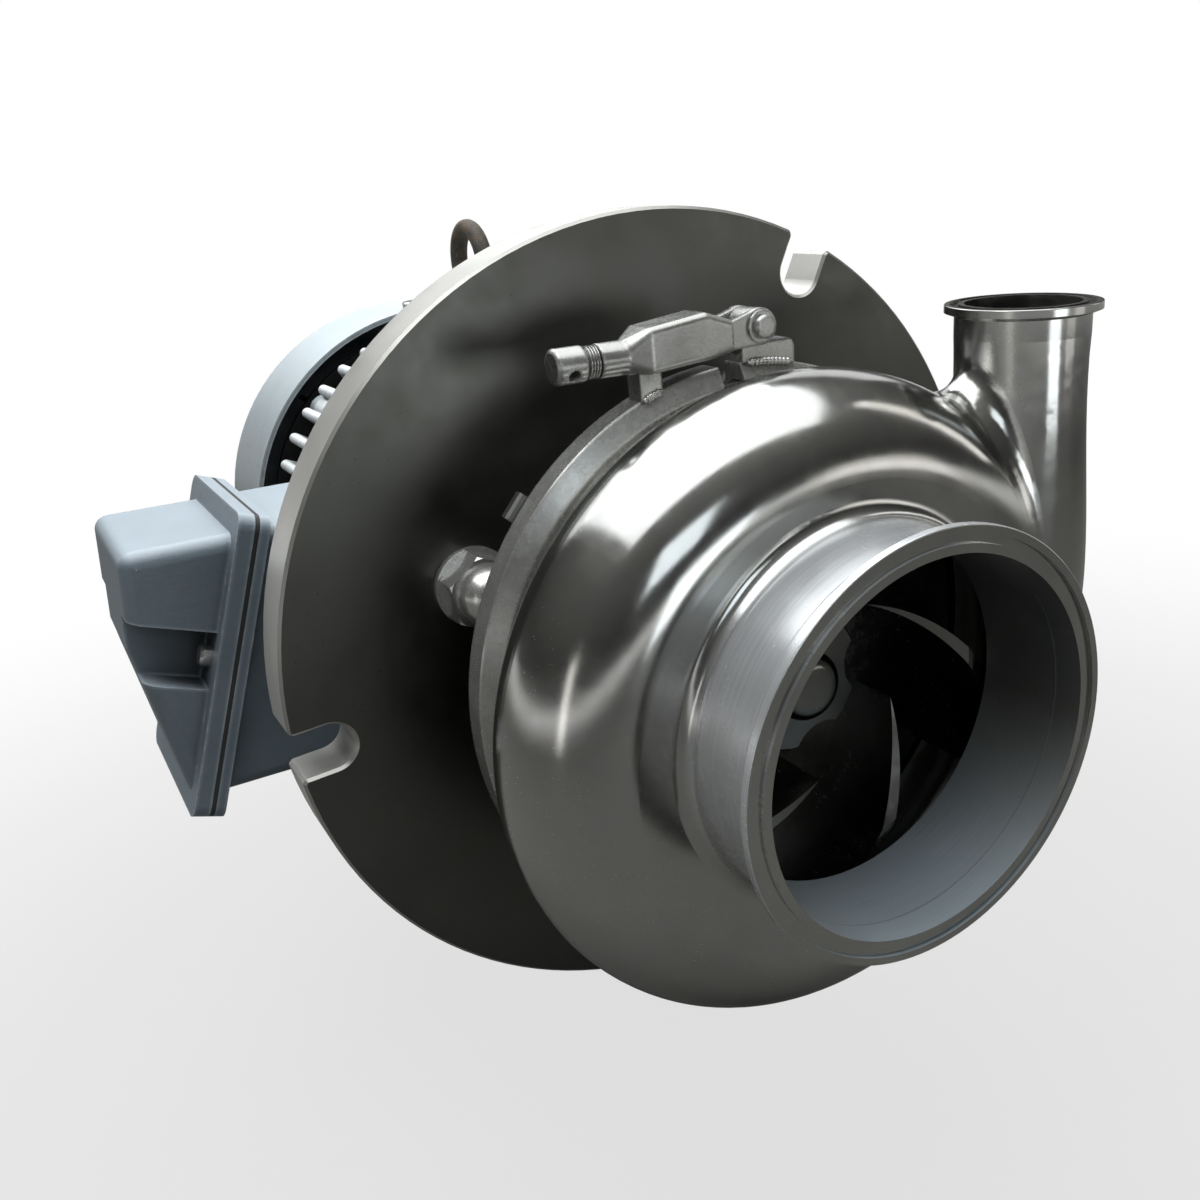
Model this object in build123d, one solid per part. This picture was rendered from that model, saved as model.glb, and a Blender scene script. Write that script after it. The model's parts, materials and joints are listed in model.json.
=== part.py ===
from build123d import *
from math import atan2, cos, degrees, hypot, radians, sin, sqrt, tan
import os

# Sanitary centrifugal pump, close coupled to a flange-faced motor and carried by a slotted round plate.
# Frame: the origin is the centre of the inlet ferrule's face, +Y runs along the shaft from the inlet
# to the motor, +Z is up and +X is the side of the discharge. Lengths are in millimetres and angles in
# degrees. An angle round the shaft is measured from +X towards +Z.

# Clearances and common allowances
FACE_GAP = 0.3
RUNNING_GAP = 0.05
EDGE_BREAK = 1.0
SAME_SIZE = 0.01
CUT_REACH = 600.0
FROM_BASE = (Align.CENTER, Align.CENTER, Align.MIN)
FROM_TOP = (Align.CENTER, Align.CENTER, Align.MAX)

# Inlet: 6 inch sanitary tube and clamp ferrule
INLET_TUBE_R = 76.2
INLET_BORE_R = 73.45
INLET_FERRULE_R = 83.45
FERRULE_RIM = 3.2
FERRULE_TAPER = 20.0
FERRULE_LENGTH = 12.7
FERRULE_GROOVE_W = 3.4
FERRULE_GROOVE_DEPTH = 1.5

# Discharge: heavy-walled nozzle with a 2 inch bore and clamp ferrule
OUTLET_TUBE_R = 27.8
OUTLET_BORE_R = 23.75
OUTLET_FERRULE_R = 31.95
OUTLET_X = 113.5
OUTLET_Y = 75.0
OUTLET_FACE_Z = 140.0
NOZZLE_WAIST_R = 29.2
NOZZLE_WAIST_Z = 68.0
NOZZLE_ROOT_RX = 33.0
NOZZLE_ROOT_RY = 29.5
NOZZLE_ROOT_X = 115.0
NOZZLE_ROOT_Y = 76.8
NOZZLE_ROOT_Z = 8.0
NOZZLE_TOE_R = 16.0
NOZZLE_TOE_X = 108.0
NOZZLE_TOE_Z = -62.0
OUTLET_BORE_L = 45.0
CROTCH_FILLET = 13.0

# Casing: a round bulge whose centre stands off the shaft, so that the passage widens to the discharge
CASING_FRONT_Y = 47.0
CASING_REAR_Y = 108.0
CASING_R = 136.0
CASING_OFFSET_X = 3.0
CASING_OFFSET_Z = -10.0
CASING_WALL = 3.0
SHOULDER_R = 36.0
CASING_BAND = 2.0
NECK_FILLET = 7.0

# Joint between casing and back plate, held by the band clamp
JOINT_SETBACK = 11.0
JOINT_FLANGE_R = 119.0
JOINT_FLANGE_RIM = 3.5
JOINT_TAPER = 20.0
JOINT_ROOT_R = 113.0
JOINT_BORE_R = 108.5
GASKET_R = 110.5
GASKET_WIDTH = 3.0
GASKET_DEPTH = 1.2

# Back plate and the lantern ring that carries it
BACK_PLATE_T = 15.0
TAB_ANGLE = 138.5
TAB_WIDTH = 11.0
TAB_THICKNESS = 5.0
TAB_REACH = 3.0
LANTERN_R = 90.5
LANTERN_WALL = 14.0
LANTERN_WINDOW_W = 44.0
LANTERN_WINDOW_H = 24.0
PLATE_SCREW_R = 4.0
PLATE_SCREW_HEAD_R = 6.5
PLATE_SCREW_HEAD_H = 8.0
PLATE_SCREW_SOCKET = 6.0
PLATE_SCREW_COUNT = 6
PLATE_SCREW_ANGLE = 30.0
PLATE_SCREW_DEPTH = 11.0

# Slotted mounting disc
LANTERN_LENGTH = 41.0
DISC_T = 24.0
DISC_R = 184.0
DISC_BORE_R = 62.0
DISC_CHAMFER = 1.2
DISC_REGISTER_DEPTH = 1.5
SLOT_COUNT = 3
SLOT_ANGLE = 63.7
SLOT_WIDTH = 20.0
SLOT_DEPTH = 25.0
SLOT_CORNER = 2.5

# Studs and dome nuts that hold the disc to the adapter plate
STUD_COUNT = 4
STUD_ANGLE = 157.0
STUD_CIRCLE_R = 108.0
STUD_R = 9.5
DOME_NUT_FLATS = 28.5
DOME_NUT_HEX_H = 13.0
DOME_NUT_H = 26.0
WASHER_R = 17.0
WASHER_T = 2.5

# Adapter plate behind the disc and its screws into the motor's face
ADAPTER_T = 16.0
ADAPTER_RIM = 16.0
ADAPTER_BORE_R = 58.0
FACE_PILOT_R = 107.95
FACE_PILOT_DEPTH = 4.0
FACE_SCREW_CIRCLE_R = 92.1
FACE_SCREW_COUNT = 4
FACE_SCREW_ANGLE = 45.0
FACE_SCREW_R = 6.35
FACE_SCREW_HEAD_R = 9.5
FACE_SCREW_HEAD_H = 11.0
FACE_SCREW_LENGTH = 26.0

# Motor frame, end bells and fan cover
FRONT_BELL_LENGTH = 35.0
FRAME_LENGTH = 200.0
FRAME_BORE_R = 88.0
FRAME_WALL = 9.0
FIN_HEIGHT = 24.0
FIN_COUNT = 44
FIN_BASE_T = 8.6
FIN_TIP_T = 6.4
BELL_STEP = 7.0
BELL_FLANGE_R = 116.0
BELL_FLANGE_T = 12.0
BELL_WALL = 13.0
BELL_SPIGOT = 8.0
BELL_SPIGOT_WALL = 8.0
BELL_SHAFT_HOLE_R = 24.0
BEARING_SHOULDER_R = 36.0
BEARING_BOSS_WALL = 9.5
BELL_BOLT_STEP = 10.0
BELL_BOLT_COUNT = 4
BELL_BOLT_ANGLE = 45.0
BELL_BOLT_R = 4.8
BELL_BOLT_HEAD_R = 7.5
BELL_BOLT_HEAD_H = 6.0
BELL_LUG_R = 9.5
BELL_LUG_L = 20.0
REAR_BELL_FLANGE_T = 10.0
REAR_BELL_DEPTH = 26.0
REAR_BELL_SLOPE = 10.0
REAR_BELL_NOSE_R = 56.0
FAN_COVER_SETBACK = 12.0
FAN_COVER_GAP = 7.4
FAN_COVER_SHEET = 2.8
FAN_COVER_LENGTH = 80.0
FAN_COVER_ROUND = 16.0
FAN_COVER_LUG_COUNT = 4
FAN_COVER_LUG_ANGLE = 3.5
FAN_COVER_LUG_W = 16.0
FAN_COVER_LUG_L = 18.0
FAN_COVER_LUG_INSET = 2.0
FAN_COVER_SCREW_R = 4.0
FAN_COVER_SCREW_HEAD_R = 7.0
FAN_COVER_SCREW_HEAD_H = 4.5
FAN_COVER_SCREW_LENGTH = 14.0
GRILLE_INNER_R = 30.0
GRILLE_RING_PITCH = 16.0
GRILLE_SLOT_W = 8.0
GRILLE_RINGS = 4
GRILLE_SPOKES = 6
GRILLE_SPOKE_T = 8.0

# Lifting eye
EYE_SETBACK = 68.0
EYE_RING_R = 19.0
EYE_ROD_R = 4.75
EYE_COLLAR_R = 11.0
EYE_COLLAR_H = 6.0
EYE_PAD_R = 15.0
EYE_PAD_RISE = 10.0
EYE_SHANK_R = 4.7
EYE_SHANK_LENGTH = 20.0

# Conduit box, split on a slant
BOX_DEPTH = 102.0
BOX_PEAK_DEPTH = 107.0
BOX_PEAK_Z = 14.0
BOX_FOOT_DEPTH = 97.5
BOX_SETBACK = 15.0
BOX_WIDTH = 92.0
BOX_HEIGHT = 120.0
BOX_WALL = 5.0
BOX_SPLIT_TOP_DEPTH = 47.0
BOX_SPLIT_FOOT_DEPTH = 91.0
BOX_STANDOFF = 21.0
BOX_LIP = 8.0
BOX_LIP_T = 7.0
BOX_BASE_LIP_T = 4.5
BOX_GASKET_T = 2.0
BOX_CORNER = 7.0
BOX_NOTCH_RISE = 2.5
BOX_NOTCH_H = 27.0
BOX_NOTCH_DEPTH = 19.0
BOX_PAD_H = 84.0
BOX_SCREW_BOSS_R = 7.0
BOX_SCREW_R = 3.0
BOX_SCREW_HEAD_R = 5.2
BOX_SCREW_HEAD_H = 4.5
BOX_SCREW_LENGTH = 18.0
BASE_SCREW_PITCH_Y = 61.0
BASE_SCREW_PITCH_Z = 56.0
CONDUIT_ENTRY_R = 12.4
CONDUIT_BOSS_R = 20.0
CONDUIT_BOSS_H = 6.0
CONDUIT_BOSS_DEPTH = 42.0

# Shaft line
SHAFT_R = 17.45
SHAFT_SETBACK = 2.0
SHAFT_CORE_R = 26.0
SHAFT_FAN_R = 15.0
STUB_R = 26.0
STUB_TAIL = 4.0
STUB_NOSE_R = 10.0
STUB_FIT_GAP = 0.02
COLLAR_R = 42.0
COLLAR_SETBACK = 9.0
COLLAR_LENGTH = 20.0
COLLAR_SPLIT = 2.0
SLINGER_R = 48.0
SLINGER_SETBACK = 16.0
SLINGER_T = 5.0
KEY_WIDTH = 7.94
KEY_LENGTH = 44.0

# Shaft seal between back plate and impeller
SEAL_SEAT_R = 42.0
SEAL_SEAT_BORE_R = 28.5
SEAL_SEAT_T = 9.0
SEAL_SEAT_SET_IN = 1.0
SEAL_ORING_W = 3.2
SEAL_RING_R = 35.0
SEAL_RING_WALL = 6.0
SEAL_CUP_WALL = 1.5
SEAL_CUP_DEPTH = 8.0
SEAL_SPRING_T = 2.0

# Impeller
IMPELLER_GAP = 6.5
SHROUD_INSET = 16.0
SHROUD_T = 5.0
HUB_R = 31.0
HUB_LENGTH = 19.0
HUB_SCALLOP_R = 16.0
HUB_SCALLOP_DEPTH = 7.0
BLADE_COUNT = 5
BLADE_GAP = 4.0
BLADE_NOSE_SETBACK = 16.0
BLADE_INNER_R = 40.0
BLADE_MID_R = 67.0
BLADE_MID_SWEEP = -50.0
BLADE_SWEEP = -88.0
BLADE_T = 5.5
BLADE_START_ANGLE = -20.0
IMPELLER_NUT_R = 15.0
IMPELLER_NUT_H = 12.0
IMPELLER_NUT_DOME = 7.0

# Inside the motor
BEARING_BORE_R = 22.5
BEARING_OUTER_R = 42.5
BEARING_W = 19.0
BEARING_RING_T = 5.0
BEARING_INSET = 2.0
CORE_FRONT_INSET = 35.0
CORE_REAR_INSET = 45.0
ROTOR_R = 53.0
AIR_GAP = 0.6
WINDING_OVERHANG = 20.0
WINDING_INSET = 6.0
WINDING_BORE_R = 58.0
FAN_GAP = 10.0
FAN_HUB_R = 30.0
FAN_HUB_L = 22.0
FAN_TIP_GAP = 13.6
FAN_DISC_T = 3.0
FAN_BLADE_COUNT = 8
FAN_BLADE_T = 3.0
FAN_BLADE_H = 20.0
SHAFT_TAIL = 2.0

# Band clamp
CLAMP_WALL = 7.0
CLAMP_WIDTH = 15.0
CLAMP_LIP_GAP = 1.2
CLAMP_BEVEL = 7.5
CLAMP_BEVEL_Y = 4.0
CLAMP_GAP = 10.0
CLAMP_GAP_X = -5.0
CLAMP_HINGE_GAP = 4.0
HINGE_KNUCKLE_R = 6.0
HINGE_PIN_R = 2.6
HINGE_WEB_L = 12.0
HINGE_MIDDLE_W = 5.4
HINGE_PIN_HEAD = 1.5

# Clamp tightener: lug and pin, yoke, screw and trunnion
PIN_X = 7.5
PIN_RISE = 13.5
PIN_R = 3.2
PIN_HEAD_R = 4.6
PIN_HEAD_T = 3.0
PIN_WASHER_R = 6.4
PIN_WASHER_T = 1.2
LUG_T = 10.0
LUG_EYE_R = 6.8
LUG_END_X = 25.5
LUG_END_RISE = 7.5
LUG_CORNER = 4.0
YOKE_WALL = 3.2
YOKE_CHEEK = 0.8
YOKE_TUBE_R = 6.4
YOKE_TUBE_END_X = -60.5
YOKE_NECK_X = -49.5
YOKE_NECK_WALL = 3.0
YOKE_SHOULDER_X = -41.5
YOKE_SHOULDER_TOP_RISE = 18.2
YOKE_SHOULDER_FOOT_RISE = 1.4
YOKE_RIDGE_X = -17.0
YOKE_RIDGE_TOP_RISE = 21.2
YOKE_RIDGE_FOOT_RISE = 3.4
YOKE_STEP_X = -6.0
YOKE_STEP_TOP_RISE = 17.4
YOKE_STEP_FOOT_RISE = 5.2
YOKE_SLOT_X = -12.0
YOKE_EDGE_R = 2.4
YOKE_EYE_R = 7.0
SCREW_RISE = 8.0
SCREW_R = 5.0
SCREW_TIP_R = 3.5
SCREW_TIP_L = 3.0
SCREW_HEAD_R = 6.6
SCREW_HEAD_L = 12.5
SCREW_CLEAR_THREAD = 5.5
SCREW_CROSS_HOLE_R = 2.4
SCREW_CROSS_HOLE_ANGLE = -58.0
TRUNNION_X = -41.0
TRUNNION_RISE = 5.0
TRUNNION_R = 4.6
SCREW_TIP_GAP = 0.6

# Places along the shaft that follow from the sizes above
SHOULDER_Y = CASING_FRONT_Y + SHOULDER_R
JOINT_Y = CASING_REAR_Y + JOINT_SETBACK
BACK_PLATE_REAR_Y = JOINT_Y + BACK_PLATE_T
DISC_Y = BACK_PLATE_REAR_Y + LANTERN_LENGTH
DISC_BACK_Y = DISC_Y + DISC_T
MOTOR_FACE_Y = DISC_BACK_Y + ADAPTER_T
FRAME_Y = MOTOR_FACE_Y + FRONT_BELL_LENGTH
FRAME_END_Y = FRAME_Y + FRAME_LENGTH
FAN_COVER_Y = FRAME_END_Y + FAN_COVER_SETBACK
EYE_Y = FRAME_END_Y - EYE_SETBACK
BOX_Y = FRAME_Y + BOX_SETBACK
FAN_Y = FRAME_END_Y + REAR_BELL_DEPTH + FAN_GAP
SHAFT_END_Y = FAN_Y + FAN_HUB_L + SHAFT_TAIL
CORE_Y = FRAME_Y + CORE_FRONT_INSET
CORE_LENGTH = FRAME_LENGTH - CORE_FRONT_INSET - CORE_REAR_INSET
SHAFT_FRONT_Y = BACK_PLATE_REAR_Y + SHAFT_SETBACK
COLLAR_Y = DISC_Y + COLLAR_SETBACK
STUB_REAR_Y = COLLAR_Y + COLLAR_LENGTH + STUB_TAIL
SLINGER_Y = BACK_PLATE_REAR_Y + SLINGER_SETBACK
SHROUD_Y = JOINT_Y - SHROUD_INSET
HUB_FRONT_Y = SHROUD_Y - HUB_LENGTH
BLADE_FRONT_Y = CASING_FRONT_Y + CASING_WALL + BLADE_GAP
BLADE_NOSE_Y = BLADE_FRONT_Y + BLADE_NOSE_SETBACK

# Radii that follow from other radii
IMPELLER_R = JOINT_BORE_R - IMPELLER_GAP
FRAME_R = FRAME_BORE_R + FRAME_WALL
FIN_TIP_R = FRAME_R + FIN_HEIGHT
BELL_R = FRAME_R + BELL_STEP
BELL_BOLT_CIRCLE_R = FRAME_R + BELL_BOLT_STEP
REAR_BELL_FACE_R = BELL_R - REAR_BELL_SLOPE
FAN_COVER_R = FIN_TIP_R + FAN_COVER_GAP
EYE_PAD_Z = FIN_TIP_R + EYE_PAD_RISE
STATOR_R = FRAME_BORE_R
WINDING_R = STATOR_R - WINDING_INSET
FAN_R = FAN_COVER_R - FAN_COVER_SHEET - FAN_TIP_GAP
ADAPTER_R = STUD_CIRCLE_R + ADAPTER_RIM

# Places of the conduit box that follow
BOX_INNER_X = FRAME_R + BOX_STANDOFF
BOX_OUTER_X = BOX_INNER_X + BOX_DEPTH
BOX_PEAK_X = BOX_INNER_X + BOX_PEAK_DEPTH
BOX_FOOT_X = BOX_INNER_X + BOX_FOOT_DEPTH
BOX_SPLIT_TOP_X = BOX_INNER_X + BOX_SPLIT_TOP_DEPTH
BOX_SPLIT_BOTTOM_X = BOX_INNER_X + BOX_SPLIT_FOOT_DEPTH
CONDUIT_BOSS_X = BOX_INNER_X + CONDUIT_BOSS_DEPTH

# Places of the band clamp that follow
CLAMP_R = JOINT_FLANGE_R + CLAMP_WALL
CLAMP_LIP_R = JOINT_ROOT_R + CLAMP_LIP_GAP
TAB_R = CLAMP_R + TAB_REACH
PIN_Z = CLAMP_R + PIN_RISE
LUG_END_Z = CLAMP_R + LUG_END_RISE
YOKE_SHOULDER_TOP_Z = CLAMP_R + YOKE_SHOULDER_TOP_RISE
YOKE_SHOULDER_FOOT_Z = CLAMP_R + YOKE_SHOULDER_FOOT_RISE
YOKE_RIDGE_TOP_Z = CLAMP_R + YOKE_RIDGE_TOP_RISE
YOKE_RIDGE_FOOT_Z = CLAMP_R + YOKE_RIDGE_FOOT_RISE
YOKE_STEP_TOP_Z = CLAMP_R + YOKE_STEP_TOP_RISE
YOKE_STEP_FOOT_Z = CLAMP_R + YOKE_STEP_FOOT_RISE
SCREW_Z = CLAMP_R + SCREW_RISE
TRUNNION_Z = CLAMP_R + TRUNNION_RISE

# Other places that follow
NOZZLE_END_Z = OUTLET_FACE_Z - FERRULE_LENGTH
REAR_SHOULDER_R = CASING_REAR_Y - CASING_FRONT_Y - SHOULDER_R - CASING_BAND
TAPER_SLOPE = tan(radians(JOINT_TAPER))
FLANGE_ROOT_T = JOINT_FLANGE_RIM + (JOINT_FLANGE_R - JOINT_ROOT_R) * TAPER_SLOPE
LANTERN_MID_R = LANTERN_R - LANTERN_WALL / 2
DISC_SEAT_Y = DISC_BACK_Y - DISC_REGISTER_DEPTH
PILOT_Y = MOTOR_FACE_Y - FACE_PILOT_DEPTH
NUT_SEAT_Y = DISC_Y - WASHER_T
STUD_TOP_Y = NUT_SEAT_Y - DOME_NUT_H + DOME_NUT_FLATS / 2 - STUD_R
BELL_INSIDE_Y = PILOT_Y + BELL_WALL
BEARING_BOSS_R = BEARING_OUTER_R + BEARING_BOSS_WALL
FRONT_BEARING_Y = FRAME_Y + BELL_SPIGOT - BEARING_INSET
REAR_FLANGE_Y = FRAME_END_Y + REAR_BELL_FLANGE_T
REAR_BEARING_Y = FRAME_END_Y - BEARING_INSET
FAN_COVER_END_Y = FAN_COVER_Y + FAN_COVER_LENGTH
FAN_COVER_SCREW_Y = FAN_COVER_Y + FAN_COVER_LUG_L / 2 - FAN_COVER_LUG_INSET
SHROUD_REAR_Y = SHROUD_Y + SHROUD_T
SEAT_FACE_Y = JOINT_Y + SEAL_SEAT_SET_IN
SEAL_FLOOR_Y = SHROUD_REAR_Y + SEAL_CUP_WALL
CLAMP_REAR_Y = JOINT_Y + CLAMP_WIDTH / 2
HINGE_Z = -(CLAMP_R + HINGE_KNUCKLE_R)
FORK_GAP_HALF_W = LUG_T / 2 + FACE_GAP
FORK_HALF_W = FORK_GAP_HALF_W + YOKE_WALL
YOKE_POCKET_X = YOKE_NECK_X + YOKE_NECK_WALL
SCREW_TIP_X = TRUNNION_X - TRUNNION_R - SCREW_TIP_GAP
SCREW_HEAD_X = YOKE_TUBE_END_X - SCREW_CLEAR_THREAD
BOX_MID_Y = BOX_Y + BOX_WIDTH / 2
BOX_SPLIT_X = (BOX_SPLIT_TOP_X + BOX_SPLIT_BOTTOM_X) / 2
BOX_SLANT = degrees(atan2(BOX_SPLIT_BOTTOM_X - BOX_SPLIT_TOP_X, BOX_HEIGHT))
BOX_SPLIT_H = BOX_HEIGHT / cos(radians(BOX_SLANT))
BOX_SCREW_INSET = BOX_NOTCH_DEPTH / 2


def turned(*outline):
    """Solid of revolution about the shaft, from (radius, y) corners."""
    return revolve(make_face(Polyline(*outline, close=True)), Axis.Y)


def ring(start_y, end_y, inner_r, outer_r):
    return turned((inner_r, start_y), (outer_r, start_y), (outer_r, end_y), (inner_r, end_y))


def disc(start_y, end_y, outer_r):
    return ring(start_y, end_y, 0, outer_r)


def post(radius, height):
    """Upright cylinder that stands on its place."""
    return Cylinder(radius, height, align=FROM_BASE)


def plug(radius, depth):
    """Upright cylinder that hangs from its place."""
    return Cylinder(radius, depth, align=FROM_TOP)


def rod_y(radius, start_y, end_y):
    return Pos(0, start_y, 0) * Rot(-90, 0, 0) * post(radius, end_y - start_y)


def round_shaft(shape, angle):
    """Turn a shape round the shaft, from +X towards +Z."""
    return Rot(0, -angle, 0) * shape


def around(shape, count, first_angle=0.0):
    """Copies of a shape, evenly spaced round the shaft."""
    return [round_shaft(shape, first_angle + 360 / count * i) for i in range(count)]


def circle_edges(shape, radius, y):
    """Circular edges round the shaft, of one radius and at one place along it."""
    edges = shape.edges().filter_by(GeomType.CIRCLE)
    near = edges.filter_by(lambda edge: abs(edge.radius - radius) < SAME_SIZE)
    return near.filter_by(lambda edge: abs(edge.center(CenterOf.BOUNDING_BOX).Y - y) < SAME_SIZE)


def outline_xz(*points):
    return make_face(Polyline(*points, close=True))


def plate_y(sketch, start_y, end_y):
    """Extrude a sketch drawn in X and Z between two places along the shaft."""
    return extrude(Plane.XZ.offset(-start_y) * sketch, start_y - end_y)


def rod_x(radius, start_x, end_x, y, z):
    return Pos((start_x + end_x) / 2, y, z) * Rot(0, 90, 0) * Cylinder(radius, end_x - start_x)


def hexagon(flats):
    return RegularPolygon(flats / 2, 6, major_radius=False)


# Wet end

def ferrule(tube_r, bore_r, rim_r):
    """Clamp ferrule with its sealing face at y = 0 and its weld end towards +Y."""
    taper_end = FERRULE_RIM + (rim_r - tube_r) * tan(radians(FERRULE_TAPER))
    body = turned((bore_r, 0), (rim_r, 0), (rim_r, FERRULE_RIM), (tube_r, taper_end),
                  (tube_r, FERRULE_LENGTH), (bore_r, FERRULE_LENGTH))
    groove_mid = (bore_r + rim_r) / 2
    body -= ring(0, FERRULE_GROOVE_DEPTH, groove_mid - FERRULE_GROOVE_W / 2,
                 groove_mid + FERRULE_GROOVE_W / 2)
    return fillet(circle_edges(body, rim_r, 0), EDGE_BREAK / 2)


def inlet_ferrule():
    return ferrule(INLET_TUBE_R, INLET_BORE_R, INLET_FERRULE_R)


def discharge_ferrule():
    upright = Rot(-90, 0, 0) * ferrule(OUTLET_TUBE_R, OUTLET_BORE_R, OUTLET_FERRULE_R)
    return Pos(OUTLET_X, OUTLET_Y, OUTLET_FACE_Z) * upright


def bulge(inset):
    """Round body of the casing, with its skin set in by a wall thickness."""
    front, rear, rim = CASING_FRONT_Y + inset, CASING_REAR_Y - inset, CASING_R - inset
    front_arc, rear_arc = SHOULDER_R - inset, REAR_SHOULDER_R - inset
    outline = Line((0, front), (rim - front_arc, front))
    outline += CenterArc((rim - front_arc, front + front_arc), front_arc, -90, 90)
    outline += Line((rim, front + front_arc), (rim, rear - rear_arc))
    outline += CenterArc((rim - rear_arc, rear - rear_arc), rear_arc, 0, 90)
    outline += Polyline((rim - rear_arc, rear), (0, rear), (0, front))
    return Pos(CASING_OFFSET_X, 0, CASING_OFFSET_Z) * revolve(make_face(outline), Axis.Y)


def nozzle(inset, end_z):
    """Discharge that swells towards the casing, its skin set in by a wall thickness."""
    root = Ellipse(NOZZLE_ROOT_RX - inset, NOZZLE_ROOT_RY - inset)
    sections = [
        Pos(NOZZLE_TOE_X, NOZZLE_ROOT_Y, NOZZLE_TOE_Z) * Circle(NOZZLE_TOE_R - inset),
        Pos(NOZZLE_ROOT_X, NOZZLE_ROOT_Y, NOZZLE_ROOT_Z) * root,
        Pos(OUTLET_X, OUTLET_Y, NOZZLE_WAIST_Z) * Circle(NOZZLE_WAIST_R - inset),
        Pos(OUTLET_X, OUTLET_Y, end_z) * Circle(OUTLET_TUBE_R - inset),
    ]
    return loft(sections)


def crotch_edges(shape):
    """Edges along which the nozzle meets the round body."""
    curves = shape.edges().filter_by(GeomType.BSPLINE)
    return curves.filter_by(lambda edge: edge.bounding_box().max.Z < NOZZLE_END_Z - EDGE_BREAK)


def joint_flange(direction, thickness):
    """Flange with a tapered back, from the joint face towards -Y or +Y."""
    rim_y = JOINT_Y + direction * JOINT_FLANGE_RIM
    root_y = JOINT_Y + direction * FLANGE_ROOT_T
    end_y = JOINT_Y + direction * thickness
    return turned((0, JOINT_Y), (JOINT_FLANGE_R, JOINT_Y), (JOINT_FLANGE_R, rim_y),
                  (JOINT_ROOT_R, root_y), (JOINT_ROOT_R, end_y), (0, end_y))


def volute_casing():
    shell = bulge(0) + nozzle(0, NOZZLE_END_Z)
    shell = fillet(crotch_edges(shell), CROTCH_FILLET)
    shell += disc(FERRULE_LENGTH, SHOULDER_Y, INLET_TUBE_R)
    shell = fillet(circle_edges(shell, INLET_TUBE_R, CASING_FRONT_Y), NECK_FILLET)
    shell += joint_flange(-1, JOINT_Y - SHOULDER_Y)
    inside = bulge(CASING_WALL) + disc(FERRULE_LENGTH, SHOULDER_Y, INLET_BORE_R)
    inside += nozzle(OUTLET_TUBE_R - OUTLET_BORE_R, OUTLET_FACE_Z - OUTLET_BORE_L)
    inside += Pos(OUTLET_X, OUTLET_Y, OUTLET_FACE_Z) * plug(OUTLET_BORE_R, OUTLET_BORE_L)
    return shell - inside - disc(SHOULDER_Y, JOINT_Y, JOINT_BORE_R)


def casing_gasket():
    return ring(JOINT_Y, JOINT_Y + GASKET_DEPTH, GASKET_R, GASKET_R + GASKET_WIDTH)


def back_plate():
    plate = joint_flange(1, BACK_PLATE_T)
    tab_y = CLAMP_REAR_Y + FACE_GAP
    tab = Pos(TAB_R / 2, tab_y + TAB_THICKNESS / 2, 0) * Box(TAB_R, TAB_THICKNESS, TAB_WIDTH)
    tab = chamfer(tab.faces().sort_by(Axis.X)[-1].edges().filter_by(Axis.Z), EDGE_BREAK)
    plate += round_shaft(tab, TAB_ANGLE)
    plate -= casing_gasket()
    plate -= disc(JOINT_Y, SEAT_FACE_Y + SEAL_SEAT_T, SEAL_SEAT_R)
    plate -= disc(JOINT_Y, BACK_PLATE_REAR_Y, SEAL_SEAT_BORE_R + EDGE_BREAK)
    for hole in plate_screw_rods(PLATE_SCREW_R, BACK_PLATE_REAR_Y - PLATE_SCREW_DEPTH, BACK_PLATE_REAR_Y):
        plate -= hole
    return plate


def seal_seat():
    end_y = SEAT_FACE_Y + SEAL_SEAT_T
    step_y = end_y - SEAL_ORING_W
    step_r = SEAL_SEAT_R - SEAL_ORING_W
    return turned((SEAL_SEAT_BORE_R, SEAT_FACE_Y), (SEAL_SEAT_R, SEAT_FACE_Y), (SEAL_SEAT_R, step_y),
                  (step_r, step_y), (step_r, end_y), (SEAL_SEAT_BORE_R, end_y))


def seal_seat_ring():
    end_y = SEAT_FACE_Y + SEAL_SEAT_T
    return ring(end_y - SEAL_ORING_W, end_y, SEAL_SEAT_R - SEAL_ORING_W, SEAL_SEAT_R)


def seal_cup():
    lip_r = SEAL_RING_R + SEAL_CUP_WALL
    lip_y = SHROUD_REAR_Y + SEAL_CUP_DEPTH
    return turned((STUB_R, SHROUD_REAR_Y), (lip_r, SHROUD_REAR_Y), (lip_r, lip_y),
                  (SEAL_RING_R, lip_y), (SEAL_RING_R, SEAL_FLOOR_Y), (STUB_R, SEAL_FLOOR_Y))


def seal_spring():
    inner_r = SEAL_RING_R - SEAL_RING_WALL
    return ring(SEAL_FLOOR_Y, SEAL_FLOOR_Y + SEAL_SPRING_T, inner_r, SEAL_RING_R - RUNNING_GAP)


def seal_face_ring():
    start_y = SEAL_FLOOR_Y + SEAL_SPRING_T
    return ring(start_y, SEAT_FACE_Y - RUNNING_GAP, SEAL_RING_R - SEAL_RING_WALL, SEAL_RING_R)


# Impeller

def blade_point(circle_r, sweep):
    angle = radians(BLADE_START_ANGLE + sweep)
    return circle_r * cos(angle), circle_r * sin(angle)


def impeller_blade():
    """Crescent between two arcs, thick in the middle and thin at both ends, swept back from the hub."""
    inner_end = blade_point(BLADE_INNER_R, 0)
    outer_end = blade_point(IMPELLER_R, BLADE_SWEEP)
    back = ThreePointArc(inner_end, blade_point(BLADE_MID_R - BLADE_T / 2, BLADE_MID_SWEEP), outer_end)
    face = ThreePointArc(outer_end, blade_point(BLADE_MID_R + BLADE_T / 2, BLADE_MID_SWEEP), inner_end)
    return plate_y(make_face(back + face), BLADE_FRONT_Y, SHROUD_Y)


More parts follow.
